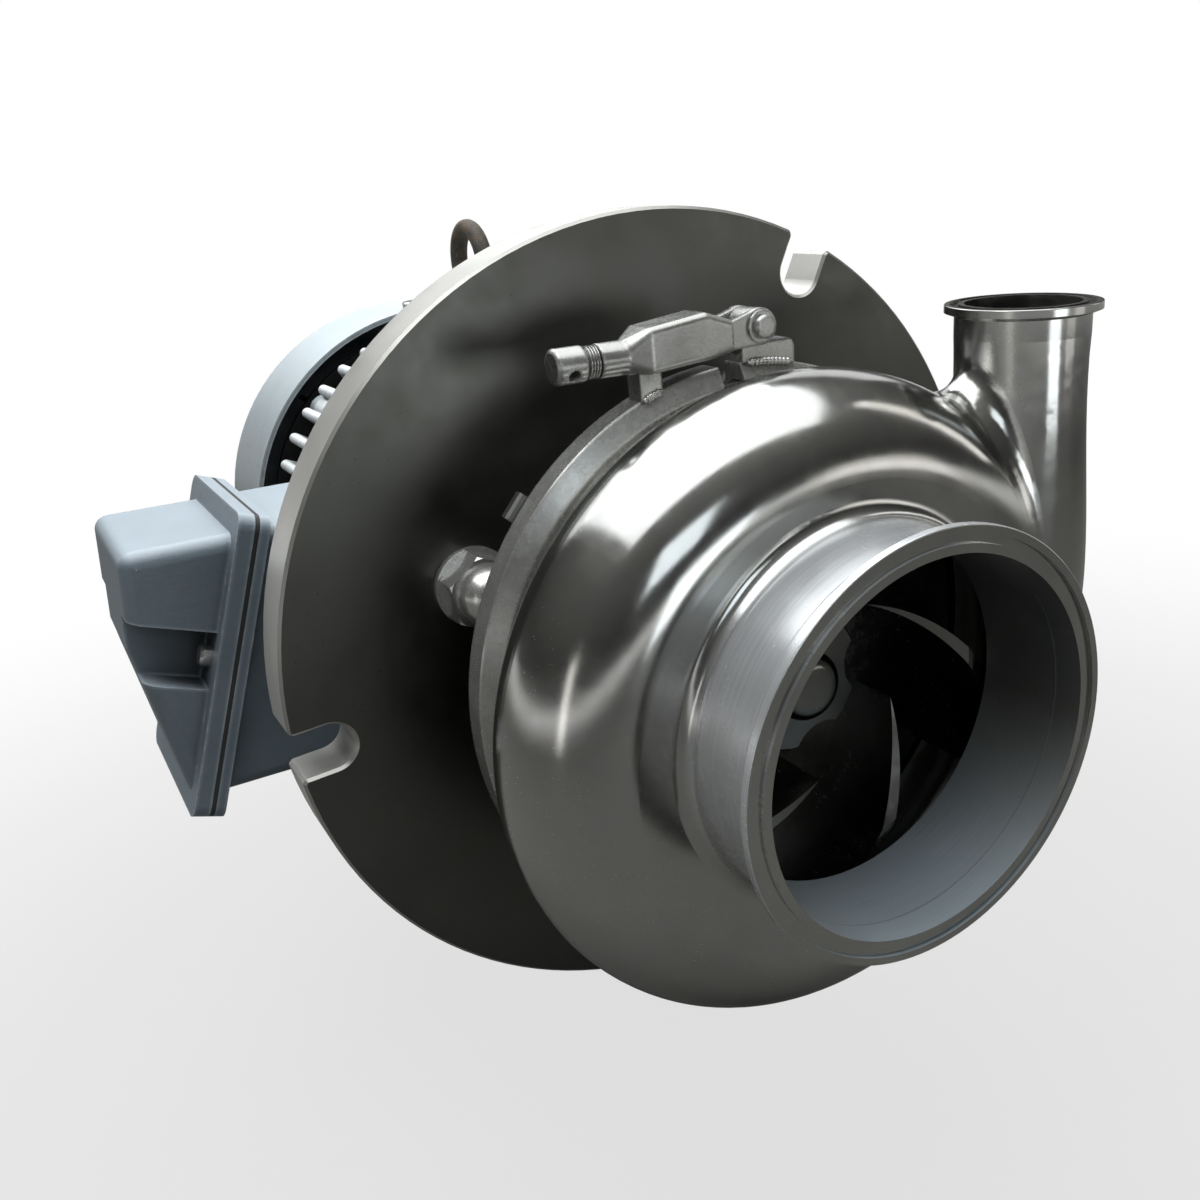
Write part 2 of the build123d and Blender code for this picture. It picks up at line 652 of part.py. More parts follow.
def impeller():
    body = disc(SHROUD_Y, SHROUD_REAR_Y, IMPELLER_R)
    hub = disc(HUB_FRONT_Y, SHROUD_Y, HUB_R)
    hub = chamfer(circle_edges(hub, HUB_R, HUB_FRONT_Y), EDGE_BREAK)
    scallop_at = HUB_R + HUB_SCALLOP_R - HUB_SCALLOP_DEPTH
    scallop = Pos(scallop_at, 0, 0) * rod_y(HUB_SCALLOP_R, HUB_FRONT_Y, SHROUD_Y)
    for cut in around(scallop, BLADE_COUNT):
        hub -= cut
    eye_slope = turned((0, BLADE_FRONT_Y), (BLADE_MID_R, BLADE_FRONT_Y), (BLADE_INNER_R, BLADE_NOSE_Y),
                       (0, BLADE_NOSE_Y))
    blade = impeller_blade() - eye_slope
    for copy in around(blade, BLADE_COUNT):
        body += copy
    body += hub
    return body - disc(HUB_FRONT_Y, SHROUD_REAR_Y, STUB_NOSE_R)


def impeller_nut():
    """Round-nosed nut on the end of the stub shaft."""
    start_y = HUB_FRONT_Y - IMPELLER_NUT_H
    nut = disc(start_y, HUB_FRONT_Y, IMPELLER_NUT_R)
    nut = fillet(circle_edges(nut, IMPELLER_NUT_R, start_y), IMPELLER_NUT_DOME)
    return nut - disc(HUB_FRONT_Y - IMPELLER_NUT_H / 2, HUB_FRONT_Y, STUB_NOSE_R)


# Shaft line

def key_block(gap):
    half = KEY_WIDTH / 2 + gap
    return Pos(0, COLLAR_Y - KEY_LENGTH / 2, SHAFT_R) * Box(2 * half, KEY_LENGTH, 2 * half)


def stub_shaft():
    nose_end = HUB_FRONT_Y - IMPELLER_NUT_H / 2
    body = disc(nose_end, SHROUD_REAR_Y, STUB_NOSE_R) + disc(SHROUD_REAR_Y, STUB_REAR_Y, STUB_R)
    body -= disc(SHAFT_FRONT_Y, STUB_REAR_Y, SHAFT_R + STUB_FIT_GAP)
    return body - key_block(0)


def shaft_key():
    return key_block(0)


def shaft_collar():
    """Split collar that clamps the stub shaft to the motor shaft."""
    body = ring(COLLAR_Y, COLLAR_Y + COLLAR_LENGTH, STUB_R, COLLAR_R)
    body -= Pos(COLLAR_R / 2, COLLAR_Y + COLLAR_LENGTH / 2, 0) * Box(COLLAR_R, COLLAR_LENGTH, COLLAR_SPLIT)
    return body


def slinger():
    return ring(SLINGER_Y, SLINGER_Y + SLINGER_T, STUB_R, SLINGER_R)


def motor_shaft():
    seat_r = BEARING_BORE_R
    shaft = turned((0, SHAFT_FRONT_Y), (SHAFT_R, SHAFT_FRONT_Y), (SHAFT_R, FRONT_BEARING_Y - BEARING_W),
                   (seat_r, FRONT_BEARING_Y - BEARING_W), (seat_r, CORE_Y), (SHAFT_CORE_R, CORE_Y),
                   (SHAFT_CORE_R, CORE_Y + CORE_LENGTH), (seat_r, CORE_Y + CORE_LENGTH),
                   (seat_r, REAR_BEARING_Y + BEARING_W), (SHAFT_FAN_R, REAR_BEARING_Y + BEARING_W),
                   (SHAFT_FAN_R, SHAFT_END_Y), (0, SHAFT_END_Y))
    return shaft - key_block(0)


# Carrier: lantern ring, slotted disc and adapter plate

def plate_screw_rods(radius, start_y, end_y):
    rod = Pos(LANTERN_MID_R, 0, 0) * rod_y(radius, start_y, end_y)
    return around(rod, PLATE_SCREW_COUNT, PLATE_SCREW_ANGLE)


def back_plate_screws():
    """Long socket screws from behind the disc, through the lantern ring into the back plate."""
    head_y = DISC_SEAT_Y - PLATE_SCREW_HEAD_H
    shank = rod_y(PLATE_SCREW_R, BACK_PLATE_REAR_Y - PLATE_SCREW_DEPTH, head_y)
    socket = plate_y(hexagon(PLATE_SCREW_SOCKET), DISC_SEAT_Y - PLATE_SCREW_HEAD_H / 2, DISC_SEAT_Y)
    screw = shank + rod_y(PLATE_SCREW_HEAD_R, head_y, DISC_SEAT_Y) - socket
    return around(Pos(LANTERN_MID_R, 0, 0) * screw, PLATE_SCREW_COUNT, PLATE_SCREW_ANGLE)


def lantern_ring():
    body = ring(BACK_PLATE_REAR_Y, DISC_Y, LANTERN_R - LANTERN_WALL, LANTERN_R)
    mid_y = (BACK_PLATE_REAR_Y + DISC_Y) / 2
    body -= Pos(0, mid_y, 0) * Box(2 * LANTERN_R, LANTERN_WINDOW_H, LANTERN_WINDOW_W)
    for hole in plate_screw_rods(PLATE_SCREW_R, BACK_PLATE_REAR_Y, DISC_Y):
        body -= hole
    return body


def slot_cutter():
    """Open slot with a round bottom, drawn towards +X."""
    bottom = DISC_R - SLOT_DEPTH + SLOT_WIDTH / 2
    straight = outline_xz((bottom, -SLOT_WIDTH / 2), (CUT_REACH, -SLOT_WIDTH / 2),
                          (CUT_REACH, SLOT_WIDTH / 2), (bottom, SLOT_WIDTH / 2))
    return plate_y(straight + Pos(bottom, 0) * Circle(SLOT_WIDTH / 2), DISC_Y, DISC_BACK_Y)


def mounting_disc():
    plate = ring(DISC_Y, DISC_BACK_Y, DISC_BORE_R, DISC_R)
    for cutter in around(slot_cutter(), SLOT_COUNT, SLOT_ANGLE):
        plate -= cutter
    corners = plate.edges().filter_by(Axis.Y)
    corners = corners.filter_by(lambda edge: hypot(edge.center().X, edge.center().Z) > DISC_R - EDGE_BREAK)
    plate = fillet(corners, SLOT_CORNER)
    plate = chamfer(plate.faces().sort_by(Axis.Y)[0].outer_wire().edges(), DISC_CHAMFER)
    plate -= disc(DISC_SEAT_Y, DISC_BACK_Y, ADAPTER_R + RUNNING_GAP)
    for hole in stud_rods(STUD_R + FACE_GAP, DISC_Y, DISC_BACK_Y):
        plate -= hole
    for hole in plate_screw_rods(PLATE_SCREW_R, DISC_Y, DISC_BACK_Y):
        plate -= hole
    for hole in plate_screw_rods(PLATE_SCREW_HEAD_R, DISC_SEAT_Y - PLATE_SCREW_HEAD_H, DISC_BACK_Y):
        plate -= hole
    return plate


def stud_rods(radius, start_y, end_y):
    return around(Pos(STUD_CIRCLE_R, 0, 0) * rod_y(radius, start_y, end_y), STUD_COUNT, STUD_ANGLE)


def disc_studs():
    return stud_rods(STUD_R, STUD_TOP_Y, PILOT_Y - EDGE_BREAK)


def disc_washers():
    washer = ring(DISC_Y - WASHER_T, DISC_Y, STUD_R, WASHER_R)
    return around(Pos(STUD_CIRCLE_R, 0, 0) * washer, STUD_COUNT, STUD_ANGLE)


def disc_dome_nuts():
    """Hexagon with its corners turned off and a domed cap towards the casing."""
    dome_r = DOME_NUT_FLATS / 2 - EDGE_BREAK
    hex_y = NUT_SEAT_Y - DOME_NUT_HEX_H
    blank = disc(hex_y, NUT_SEAT_Y, DOME_NUT_FLATS / sqrt(3))
    blank = chamfer(blank.edges().filter_by(GeomType.CIRCLE), EDGE_BREAK)
    cap = disc(NUT_SEAT_Y - DOME_NUT_H, hex_y, dome_r)
    cap = fillet(circle_edges(cap, dome_r, NUT_SEAT_Y - DOME_NUT_H), dome_r - EDGE_BREAK)
    nut = (plate_y(hexagon(DOME_NUT_FLATS), hex_y, NUT_SEAT_Y) & blank) + cap
    nut -= disc(STUD_TOP_Y, NUT_SEAT_Y, STUD_R)
    return around(Pos(STUD_CIRCLE_R, 0, 0) * nut, STUD_COUNT, STUD_ANGLE)


def motor_adapter():
    plate = ring(DISC_SEAT_Y, MOTOR_FACE_Y, ADAPTER_BORE_R, ADAPTER_R)
    plate -= disc(PILOT_Y, MOTOR_FACE_Y, FACE_PILOT_R)
    for hole in stud_rods(STUD_R, DISC_SEAT_Y, PILOT_Y - EDGE_BREAK):
        plate -= hole
    for hole in around(face_screw(FACE_GAP), FACE_SCREW_COUNT, FACE_SCREW_ANGLE):
        plate -= hole
    return plate


def face_screw(gap):
    """Socket screw of the motor face, at the angle 0, larger all round by a gap."""
    head_end = DISC_SEAT_Y + FACE_SCREW_HEAD_H
    screw = rod_y(FACE_SCREW_HEAD_R + gap, DISC_SEAT_Y, head_end)
    screw += rod_y(FACE_SCREW_R, head_end, head_end + FACE_SCREW_LENGTH)
    return Pos(FACE_SCREW_CIRCLE_R, 0, 0) * screw


def motor_face_screws():
    return around(face_screw(0), FACE_SCREW_COUNT, FACE_SCREW_ANGLE)


# Motor

def bell_lug(start_y, end_y):
    """Bolt lug of a bell or of the frame, at the angle 0."""
    web = outline_xz((FRAME_BORE_R, -BELL_LUG_R), (BELL_BOLT_CIRCLE_R, -BELL_LUG_R),
                     (BELL_BOLT_CIRCLE_R, BELL_LUG_R), (FRAME_BORE_R, BELL_LUG_R))
    return plate_y(web + Pos(BELL_BOLT_CIRCLE_R, 0) * Circle(BELL_LUG_R), start_y, end_y)


def bell_lugs(body, start_y, end_y):
    for lug in around(bell_lug(start_y, end_y), BELL_BOLT_COUNT, BELL_BOLT_ANGLE):
        body += lug
    return body


def bolt_drilled(body, start_y, end_y):
    """Cut the holes of the through bolts that hold both bells to the frame."""
    hole = Pos(BELL_BOLT_CIRCLE_R, 0, 0) * rod_y(BELL_BOLT_R, start_y, end_y)
    for copy in around(hole, BELL_BOLT_COUNT, BELL_BOLT_ANGLE):
        body -= copy
    return body


def front_end_bell():
    spigot_end = FRAME_Y + BELL_SPIGOT
    spigot_r = FRAME_BORE_R - BELL_SPIGOT_WALL
    bearing_end = FRONT_BEARING_Y + BEARING_W
    body = turned((BELL_SHAFT_HOLE_R, PILOT_Y), (FACE_PILOT_R, PILOT_Y), (FACE_PILOT_R, MOTOR_FACE_Y),
                  (BELL_FLANGE_R, MOTOR_FACE_Y), (BELL_FLANGE_R, MOTOR_FACE_Y + BELL_FLANGE_T),
                  (BELL_R, MOTOR_FACE_Y + 2 * BELL_FLANGE_T), (BELL_R, FRAME_Y), (FRAME_BORE_R, FRAME_Y),
                  (FRAME_BORE_R, spigot_end), (spigot_r, spigot_end), (spigot_r, BELL_INSIDE_Y),
                  (BEARING_BOSS_R, BELL_INSIDE_Y), (BEARING_BOSS_R, bearing_end),
                  (BEARING_OUTER_R, bearing_end), (BEARING_OUTER_R, FRONT_BEARING_Y),
                  (BEARING_SHOULDER_R, FRONT_BEARING_Y), (BEARING_SHOULDER_R, BELL_INSIDE_Y),
                  (BELL_SHAFT_HOLE_R, BELL_INSIDE_Y))
    body = bell_lugs(body, FRAME_Y - BELL_LUG_L, FRAME_Y)
    body = bolt_drilled(body, FRAME_Y - BELL_LUG_L, FRAME_Y)
    for hole in around(face_screw(0), FACE_SCREW_COUNT, FACE_SCREW_ANGLE):
        body -= hole
    return body


def rear_bell_body():
    spigot_y = FRAME_END_Y - BELL_SPIGOT
    spigot_r = FRAME_BORE_R - BELL_SPIGOT_WALL
    nose_y = FRAME_END_Y + REAR_BELL_DEPTH
    bearing_end = REAR_BEARING_Y + BEARING_W
    boss_y = REAR_BEARING_Y - EDGE_BREAK
    wall_y = FRAME_END_Y + EDGE_BREAK
    return turned((spigot_r, spigot_y), (FRAME_BORE_R, spigot_y), (FRAME_BORE_R, FRAME_END_Y),
                  (BELL_R, FRAME_END_Y), (BELL_R, REAR_FLANGE_Y), (REAR_BELL_FACE_R, REAR_FLANGE_Y),
                  (REAR_BELL_NOSE_R, nose_y), (BELL_SHAFT_HOLE_R, nose_y), (BELL_SHAFT_HOLE_R, bearing_end),
                  (BEARING_OUTER_R, bearing_end), (BEARING_OUTER_R, boss_y), (BEARING_BOSS_R, boss_y),
                  (BEARING_BOSS_R, wall_y), (spigot_r, wall_y))


def fan_cover_arm():
    """Arm of the rear bell that the fan cover is screwed to, at the angle 0."""
    start_y = FAN_COVER_SCREW_Y - FAN_COVER_LUG_L / 2
    end_y = start_y + FAN_COVER_LUG_L
    half = FAN_COVER_LUG_W / 2
    root_r = BELL_R - BELL_WALL
    arm = plate_y(outline_xz((root_r, -half), (FAN_COVER_R, -half), (FAN_COVER_R, half), (root_r, half)),
                  start_y, end_y)
    return arm & disc(start_y, end_y, FAN_COVER_R - FAN_COVER_SHEET)


def rear_end_bell():
    body = bell_lugs(rear_bell_body(), FRAME_END_Y, REAR_FLANGE_Y)
    for arm in around(fan_cover_arm(), FAN_COVER_LUG_COUNT, FAN_COVER_LUG_ANGLE):
        body += arm
    for screw in fan_cover_screws():
        body -= screw
    return bolt_drilled(body, FRAME_END_Y, REAR_FLANGE_Y)


def end_bell_bolts():
    """Hexagon-headed through bolts, one set of four with its heads on the rear bell."""
    bolt = rod_y(BELL_BOLT_R, FRAME_Y - BELL_LUG_L + EDGE_BREAK, REAR_FLANGE_Y)
    bolt += plate_y(hexagon(2 * BELL_BOLT_HEAD_R), REAR_FLANGE_Y, REAR_FLANGE_Y + BELL_BOLT_HEAD_H)
    return around(Pos(BELL_BOLT_CIRCLE_R, 0, 0) * bolt, BELL_BOLT_COUNT, BELL_BOLT_ANGLE)


def cooling_fin():
    """Tapered fin at the angle 0, rooted in the frame's wall."""
    root_r = (FRAME_BORE_R + FRAME_R) / 2
    tip_mid_r = FIN_TIP_R - FIN_TIP_T / 2
    profile = outline_xz((root_r, -FIN_BASE_T / 2), (tip_mid_r, -FIN_TIP_T / 2), (tip_mid_r, FIN_TIP_T / 2),
                         (root_r, FIN_BASE_T / 2))
    return plate_y(profile + Pos(tip_mid_r, 0) * Circle(FIN_TIP_T / 2), FRAME_Y, FRAME_END_Y)


def box_pad():
    """Pad on the side of the frame that carries the conduit box."""
    root_x = -(FRAME_BORE_R + FRAME_R) / 2
    half = BOX_PAD_H / 2
    outline = outline_xz((root_x, -half), (-BOX_INNER_X, -half), (-BOX_INNER_X, half), (root_x, half))
    return plate_y(outline, BOX_Y + BOX_WALL, BOX_Y + BOX_WIDTH - BOX_WALL)


def box_space():
    """Room that the fins leave for the conduit box."""
    half = BOX_HEIGHT / 2 + FACE_GAP
    outline = outline_xz((-CUT_REACH, -half), (-BOX_INNER_X, -half), (-BOX_INNER_X, half),
                         (-CUT_REACH, half))
    return plate_y(outline, BOX_Y - FACE_GAP, BOX_Y + BOX_WIDTH + FACE_GAP)


def motor_frame():
    body = ring(FRAME_Y, FRAME_END_Y, FRAME_BORE_R, FRAME_R)
    body += around(cooling_fin(), FIN_COUNT)
    body = bell_lugs(body, FRAME_Y, FRAME_Y + BELL_LUG_L)
    body = bell_lugs(body, FRAME_END_Y - BELL_LUG_L, FRAME_END_Y)
    body += box_pad()
    body += Pos(0, EYE_Y, EYE_PAD_Z) * plug(EYE_PAD_R, EYE_PAD_Z - FRAME_R + EDGE_BREAK)
    body -= disc(FRAME_Y, FRAME_END_Y, FRAME_BORE_R)
    body -= Pos(0, EYE_Y, EYE_PAD_Z) * plug(EYE_SHANK_R, EYE_SHANK_LENGTH)
    body -= box_space()
    for hole in box_base_screw_rods(BOX_SCREW_R):
        body -= hole
    return bolt_drilled(body, FRAME_Y, FRAME_END_Y)


def lifting_eye():
    ring_z = EYE_PAD_Z + EYE_COLLAR_H + EYE_RING_R
    eye = Pos(0, EYE_Y, ring_z) * Rot(0, 90, 0) * Torus(EYE_RING_R, EYE_ROD_R)
    collar = post(EYE_COLLAR_R, EYE_COLLAR_H)
    collar = chamfer(collar.edges().sort_by(Axis.Z)[-1], EDGE_BREAK)
    return eye + Pos(0, EYE_Y, EYE_PAD_Z) * (collar + plug(EYE_SHANK_R, EYE_SHANK_LENGTH))


def bearing_inner(start_y):
    return ring(start_y, start_y + BEARING_W, BEARING_BORE_R, BEARING_BORE_R + BEARING_RING_T)


def bearing_outer(start_y):
    inner_r = BEARING_BORE_R + BEARING_RING_T + RUNNING_GAP
    return ring(start_y, start_y + BEARING_W, inner_r, BEARING_OUTER_R)


def rotor_core():
    return ring(CORE_Y, CORE_Y + CORE_LENGTH, SHAFT_CORE_R, ROTOR_R)


def stator_core():
    return ring(CORE_Y, CORE_Y + CORE_LENGTH, ROTOR_R + AIR_GAP, STATOR_R)


def stator_windings():
    end_y = CORE_Y + CORE_LENGTH
    return [ring(CORE_Y - WINDING_OVERHANG, CORE_Y, WINDING_BORE_R, WINDING_R),
            ring(end_y, end_y + WINDING_OVERHANG, WINDING_BORE_R, WINDING_R)]


def cooling_fan():
    hub = ring(FAN_Y, FAN_Y + FAN_HUB_L, SHAFT_FAN_R, FAN_HUB_R)
    body = hub + ring(FAN_Y, FAN_Y + FAN_DISC_T, FAN_HUB_R, FAN_R)
    half = FAN_BLADE_T / 2
    outline = outline_xz((SHAFT_FAN_R, -half), (CUT_REACH, -half), (CUT_REACH, half), (SHAFT_FAN_R, half))
    blade = plate_y(outline, FAN_Y, FAN_Y + FAN_BLADE_H) & disc(FAN_Y, FAN_Y + FAN_BLADE_H, FAN_R)
    for copy in around(blade, FAN_BLADE_COUNT):
        body += copy
    return body - disc(FAN_Y, FAN_Y + FAN_HUB_L, SHAFT_FAN_R)


def grille_slots():
    """Rings of air slots in the end of the fan cover, parted by radial bars."""
    start_y = FAN_COVER_END_Y - FAN_COVER_SHEET
    slots = [ring(start_y, FAN_COVER_END_Y, GRILLE_INNER_R + GRILLE_RING_PITCH * i,
                  GRILLE_INNER_R + GRILLE_RING_PITCH * i + GRILLE_SLOT_W) for i in range(GRILLE_RINGS)]
    half = GRILLE_SPOKE_T / 2
    bar = plate_y(outline_xz((0, -half), (FAN_COVER_R, -half), (FAN_COVER_R, half), (0, half)),
                  start_y, FAN_COVER_END_Y)
    bars = around(bar, GRILLE_SPOKES)
    return [slot - bars for slot in slots]


def cup(radius, end_y, corner_r):
    """Solid with a rounded rear edge, from the front of the fan cover."""
    body = disc(FAN_COVER_Y, end_y, radius)
    return fillet(circle_edges(body, radius, end_y), corner_r)


def fan_cover():
    body = cup(FAN_COVER_R, FAN_COVER_END_Y, FAN_COVER_ROUND)
    body -= cup(FAN_COVER_R - FAN_COVER_SHEET, FAN_COVER_END_Y - FAN_COVER_SHEET,
                FAN_COVER_ROUND - FAN_COVER_SHEET)
    for slots in grille_slots():
        body -= slots
    for screw in fan_cover_screws():
        body -= screw
    return body


def fan_cover_screws():
    inner_r = FAN_COVER_R - FAN_COVER_SCREW_LENGTH
    screw = rod_x(FAN_COVER_SCREW_R, inner_r, FAN_COVER_R, FAN_COVER_SCREW_Y, 0)
    head_end = FAN_COVER_R + FAN_COVER_SCREW_HEAD_H
    head = rod_x(FAN_COVER_SCREW_HEAD_R, FAN_COVER_R, head_end, FAN_COVER_SCREW_Y, 0)
    screw += chamfer(head.faces().sort_by(Axis.X)[-1].edges(), EDGE_BREAK)
    return around(screw, FAN_COVER_LUG_COUNT, FAN_COVER_LUG_ANGLE)


# Conduit box

def split_place():
    """Middle of the slanted joint: X along the shaft, Y up the joint, Z towards the cover."""
    return Pos(-BOX_SPLIT_X, BOX_MID_Y, 0) * Rot(0, -90 + BOX_SLANT, 0) * Rot(0, 0, -90)


def box_block(inset):
    """Whole box with its peaked outer side, set in all round by a wall thickness."""
    half_height = BOX_HEIGHT / 2 - inset
    side = outline_xz((-BOX_INNER_X - inset, -half_height), (-BOX_FOOT_X + inset, -half_height),
                      (-BOX_PEAK_X + inset, BOX_PEAK_Z), (-BOX_OUTER_X + inset, half_height),
                      (-BOX_INNER_X - inset, half_height))
    block = plate_y(side, BOX_Y + inset, BOX_Y + BOX_WIDTH - inset)
    outer = block.edges().filter_by(lambda edge: edge.center().X < -BOX_FOOT_X + inset + EDGE_BREAK)
    across = outer.filter_by(lambda edge: abs(edge.center().Z - BOX_PEAK_Z) < EDGE_BREAK)
    return fillet(block.edges().filter_by(Axis.X) + (outer - across), BOX_CORNER - inset / 2)


def joint_slab(start, end):
    """Everything between two distances from the slanted joint, measured towards the cover."""
    return split_place() * Pos(0, 0, start) * Box(CUT_REACH, CUT_REACH, end - start, align=FROM_BASE)


def joint_frame(start, end):
    """Lip or gasket round the joint, open in the middle."""
    outer = RectangleRounded(BOX_WIDTH + 2 * BOX_LIP, BOX_SPLIT_H + 2 * BOX_LIP, BOX_CORNER)
    inner = RectangleRounded(BOX_WIDTH - 2 * BOX_WALL, BOX_SPLIT_H - 2 * BOX_WALL, BOX_CORNER / 2)
    return split_place() * Pos(0, 0, start) * extrude(outer - inner, end - start)


def screw_places():
    side = BOX_WIDTH / 2 - BOX_SCREW_INSET
    return [split_place() * Pos(offset, BOX_NOTCH_RISE, 0) for offset in (-side, side)]


def notch(allowance):
    """Screwdriver pockets in both sides of the cover, larger by an allowance."""
    size = BOX_OUTER_X / 2
    depth, height = BOX_NOTCH_DEPTH + allowance, BOX_NOTCH_H + 2 * allowance
    start = BOX_GASKET_T / 2 + BOX_LIP_T - allowance
    pocket = Box(2 * depth, height, size)
    place = split_place() * Pos(0, BOX_NOTCH_RISE, start + size / 2)
    return [place * Pos(side * BOX_WIDTH / 2, 0, 0) * pocket for side in (-1, 1)]


def conduit_box_cover():
    face = BOX_GASKET_T / 2
    solid = box_block(0) & joint_slab(face, BOX_OUTER_X)
    body = solid - (box_block(BOX_WALL) & joint_slab(face, BOX_OUTER_X))
    for pocket in notch(BOX_WALL):
        body += pocket & solid
    body += joint_frame(face, face + BOX_LIP_T)
    for pocket in notch(0):
        body -= pocket
    for place in screw_places():
        body += place * Pos(0, 0, face) * post(BOX_SCREW_BOSS_R, BOX_LIP_T)
    for hole in box_screw_rods(BOX_SCREW_R):
        body -= hole
    return body


def box_screw_rods(radius):
    head = BOX_GASKET_T / 2 + BOX_LIP_T
    return [place * Pos(0, 0, head) * plug(radius, BOX_SCREW_LENGTH) for place in screw_places()]


def conduit_box_gasket():
    body = joint_frame(-BOX_GASKET_T / 2, BOX_GASKET_T / 2)
    for place in screw_places():
        body += place * Cylinder(BOX_SCREW_BOSS_R, BOX_GASKET_T)
    for hole in box_screw_rods(BOX_SCREW_R):
        body -= hole
    return body


def conduit_box_base():
    face = -BOX_GASKET_T / 2
    body = (box_block(0) - box_block(BOX_WALL)) & joint_slab(-BOX_OUTER_X, face)
    body += joint_frame(face - BOX_BASE_LIP_T, face)
    for place in screw_places():
        body += place * Pos(0, 0, face) * plug(BOX_SCREW_BOSS_R, BOX_SCREW_LENGTH)
    entry = Pos(-CONDUIT_BOSS_X, BOX_MID_Y, -BOX_HEIGHT / 2 - CONDUIT_BOSS_H)
    body += entry * post(CONDUIT_BOSS_R, CONDUIT_BOSS_H + BOX_WALL)
    body -= entry * post(CONDUIT_ENTRY_R, CONDUIT_BOSS_H + BOX_WALL)
    for hole in box_screw_rods(BOX_SCREW_R) + box_base_screw_rods(BOX_SCREW_R):
        body -= hole
    return body


def conduit_box_screws():
    head_z = BOX_GASKET_T / 2 + BOX_LIP_T
    head = post(BOX_SCREW_HEAD_R, BOX_SCREW_HEAD_H)
    head = chamfer(head.edges().sort_by(Axis.Z)[-1], EDGE_BREAK)
    heads = [place * Pos(0, 0, head_z) * head for place in screw_places()]
    return [rod + cap for rod, cap in zip(box_screw_rods(BOX_SCREW_R), heads)]


def box_base_screw_places():
    """Four places inside the box, each with its Z away from the motor frame."""
    start = Pos(-BOX_INNER_X - BOX_WALL, BOX_MID_Y, 0)
    rows = (-BASE_SCREW_PITCH_Z / 2, BASE_SCREW_PITCH_Z / 2)
    columns = (-BASE_SCREW_PITCH_Y / 2, BASE_SCREW_PITCH_Y / 2)
    return [start * Pos(0, y, z) * Rot(0, -90, 0) for y in columns for z in rows]


def box_base_screw_rods(radius):
    """Shanks that hold the box to the pad on the motor frame."""
    length = BOX_INNER_X + BOX_WALL - FRAME_R - 2 * EDGE_BREAK
    return [place * plug(radius, length) for place in box_base_screw_places()]


def conduit_box_base_screws():
    head = post(BOX_SCREW_HEAD_R, BOX_SCREW_HEAD_H)
    heads = [place * head for place in box_base_screw_places()]
    return [rod + cap for rod, cap in zip(box_base_screw_rods(BOX_SCREW_R), heads)]


# Band clamp

def clamp_band():
    """Whole band round the joint, with its inner groove over both flanges."""
    half = CLAMP_WIDTH / 2
    groove_r = JOINT_FLANGE_R + FACE_GAP
    rim = JOINT_FLANGE_RIM + FACE_GAP
    lip = rim + (groove_r - CLAMP_LIP_R) * TAPER_SLOPE
    section = turned((CLAMP_LIP_R, -half), (CLAMP_R - CLAMP_BEVEL, -half), (CLAMP_R, CLAMP_BEVEL_Y - half),
                     (CLAMP_R, half), (CLAMP_LIP_R, half), (CLAMP_LIP_R, lip), (groove_r, rim),
                     (groove_r, -rim), (CLAMP_LIP_R, -lip))
    return Pos(0, JOINT_Y, 0) * section


def band_side(side):
    """Region of the left (-1) or right (+1) half, with the gap at the top and the hinge gap below."""
    top_x = CLAMP_GAP_X + side * CLAMP_GAP / 2
    bottom_x = side * CLAMP_HINGE_GAP / 2
    far_x = side * CUT_REACH
    region = outline_xz((top_x, 0), (top_x, CUT_REACH), (far_x, CUT_REACH), (far_x, -CUT_REACH),
                        (bottom_x, -CUT_REACH), (bottom_x, 0))
    return plate_y(region, JOINT_Y - CLAMP_WIDTH, JOINT_Y + CLAMP_WIDTH)


def knuckle(side, start_y, end_y):
    """Hinge knuckle under the band, with the web that joins it to one half."""
    web_z = -CLAMP_R + HINGE_KNUCKLE_R / 2
    web = plate_y(outline_xz((0, HINGE_Z - HINGE_KNUCKLE_R / 2), (0, web_z), (side * HINGE_WEB_L, web_z),
                             (side * HINGE_WEB_L, HINGE_Z + HINGE_KNUCKLE_R / 2)), start_y, end_y)
    web -= disc(start_y, end_y, CLAMP_R)
    return Pos(0, 0, HINGE_Z) * rod_y(HINGE_KNUCKLE_R, start_y, end_y) + web


def hinge_bore(gap):
    return Pos(0, 0, HINGE_Z) * rod_y(HINGE_PIN_R + gap, JOINT_Y - CLAMP_WIDTH, JOINT_Y + CLAMP_WIDTH)


def clamp_half_left():
    body = clamp_band() & band_side(-1)
    body += knuckle(-1, JOINT_Y - HINGE_MIDDLE_W / 2, JOINT_Y + HINGE_MIDDLE_W / 2)
    return body - hinge_bore(RUNNING_GAP)


def clamp_half_right():
    body = clamp_band() & band_side(1)
    inner = HINGE_MIDDLE_W / 2 + FACE_GAP
    body += knuckle(1, JOINT_Y - CLAMP_WIDTH / 2, JOINT_Y - inner)
    body += knuckle(1, JOINT_Y + inner, JOINT_Y + CLAMP_WIDTH / 2)
    return body - hinge_bore(0)


def clamp_hinge_pin():
    half = CLAMP_WIDTH / 2
    pin = rod_y(HINGE_PIN_R, JOINT_Y - half, JOINT_Y + half)
    head = rod_y(HINGE_PIN_R + HINGE_PIN_HEAD, JOINT_Y - half - HINGE_PIN_HEAD, JOINT_Y - half)
    tail = rod_y(HINGE_PIN_R + HINGE_PIN_HEAD, JOINT_Y + half, JOINT_Y + half + HINGE_PIN_HEAD)
    return Pos(0, 0, HINGE_Z) * (pin + head + tail)


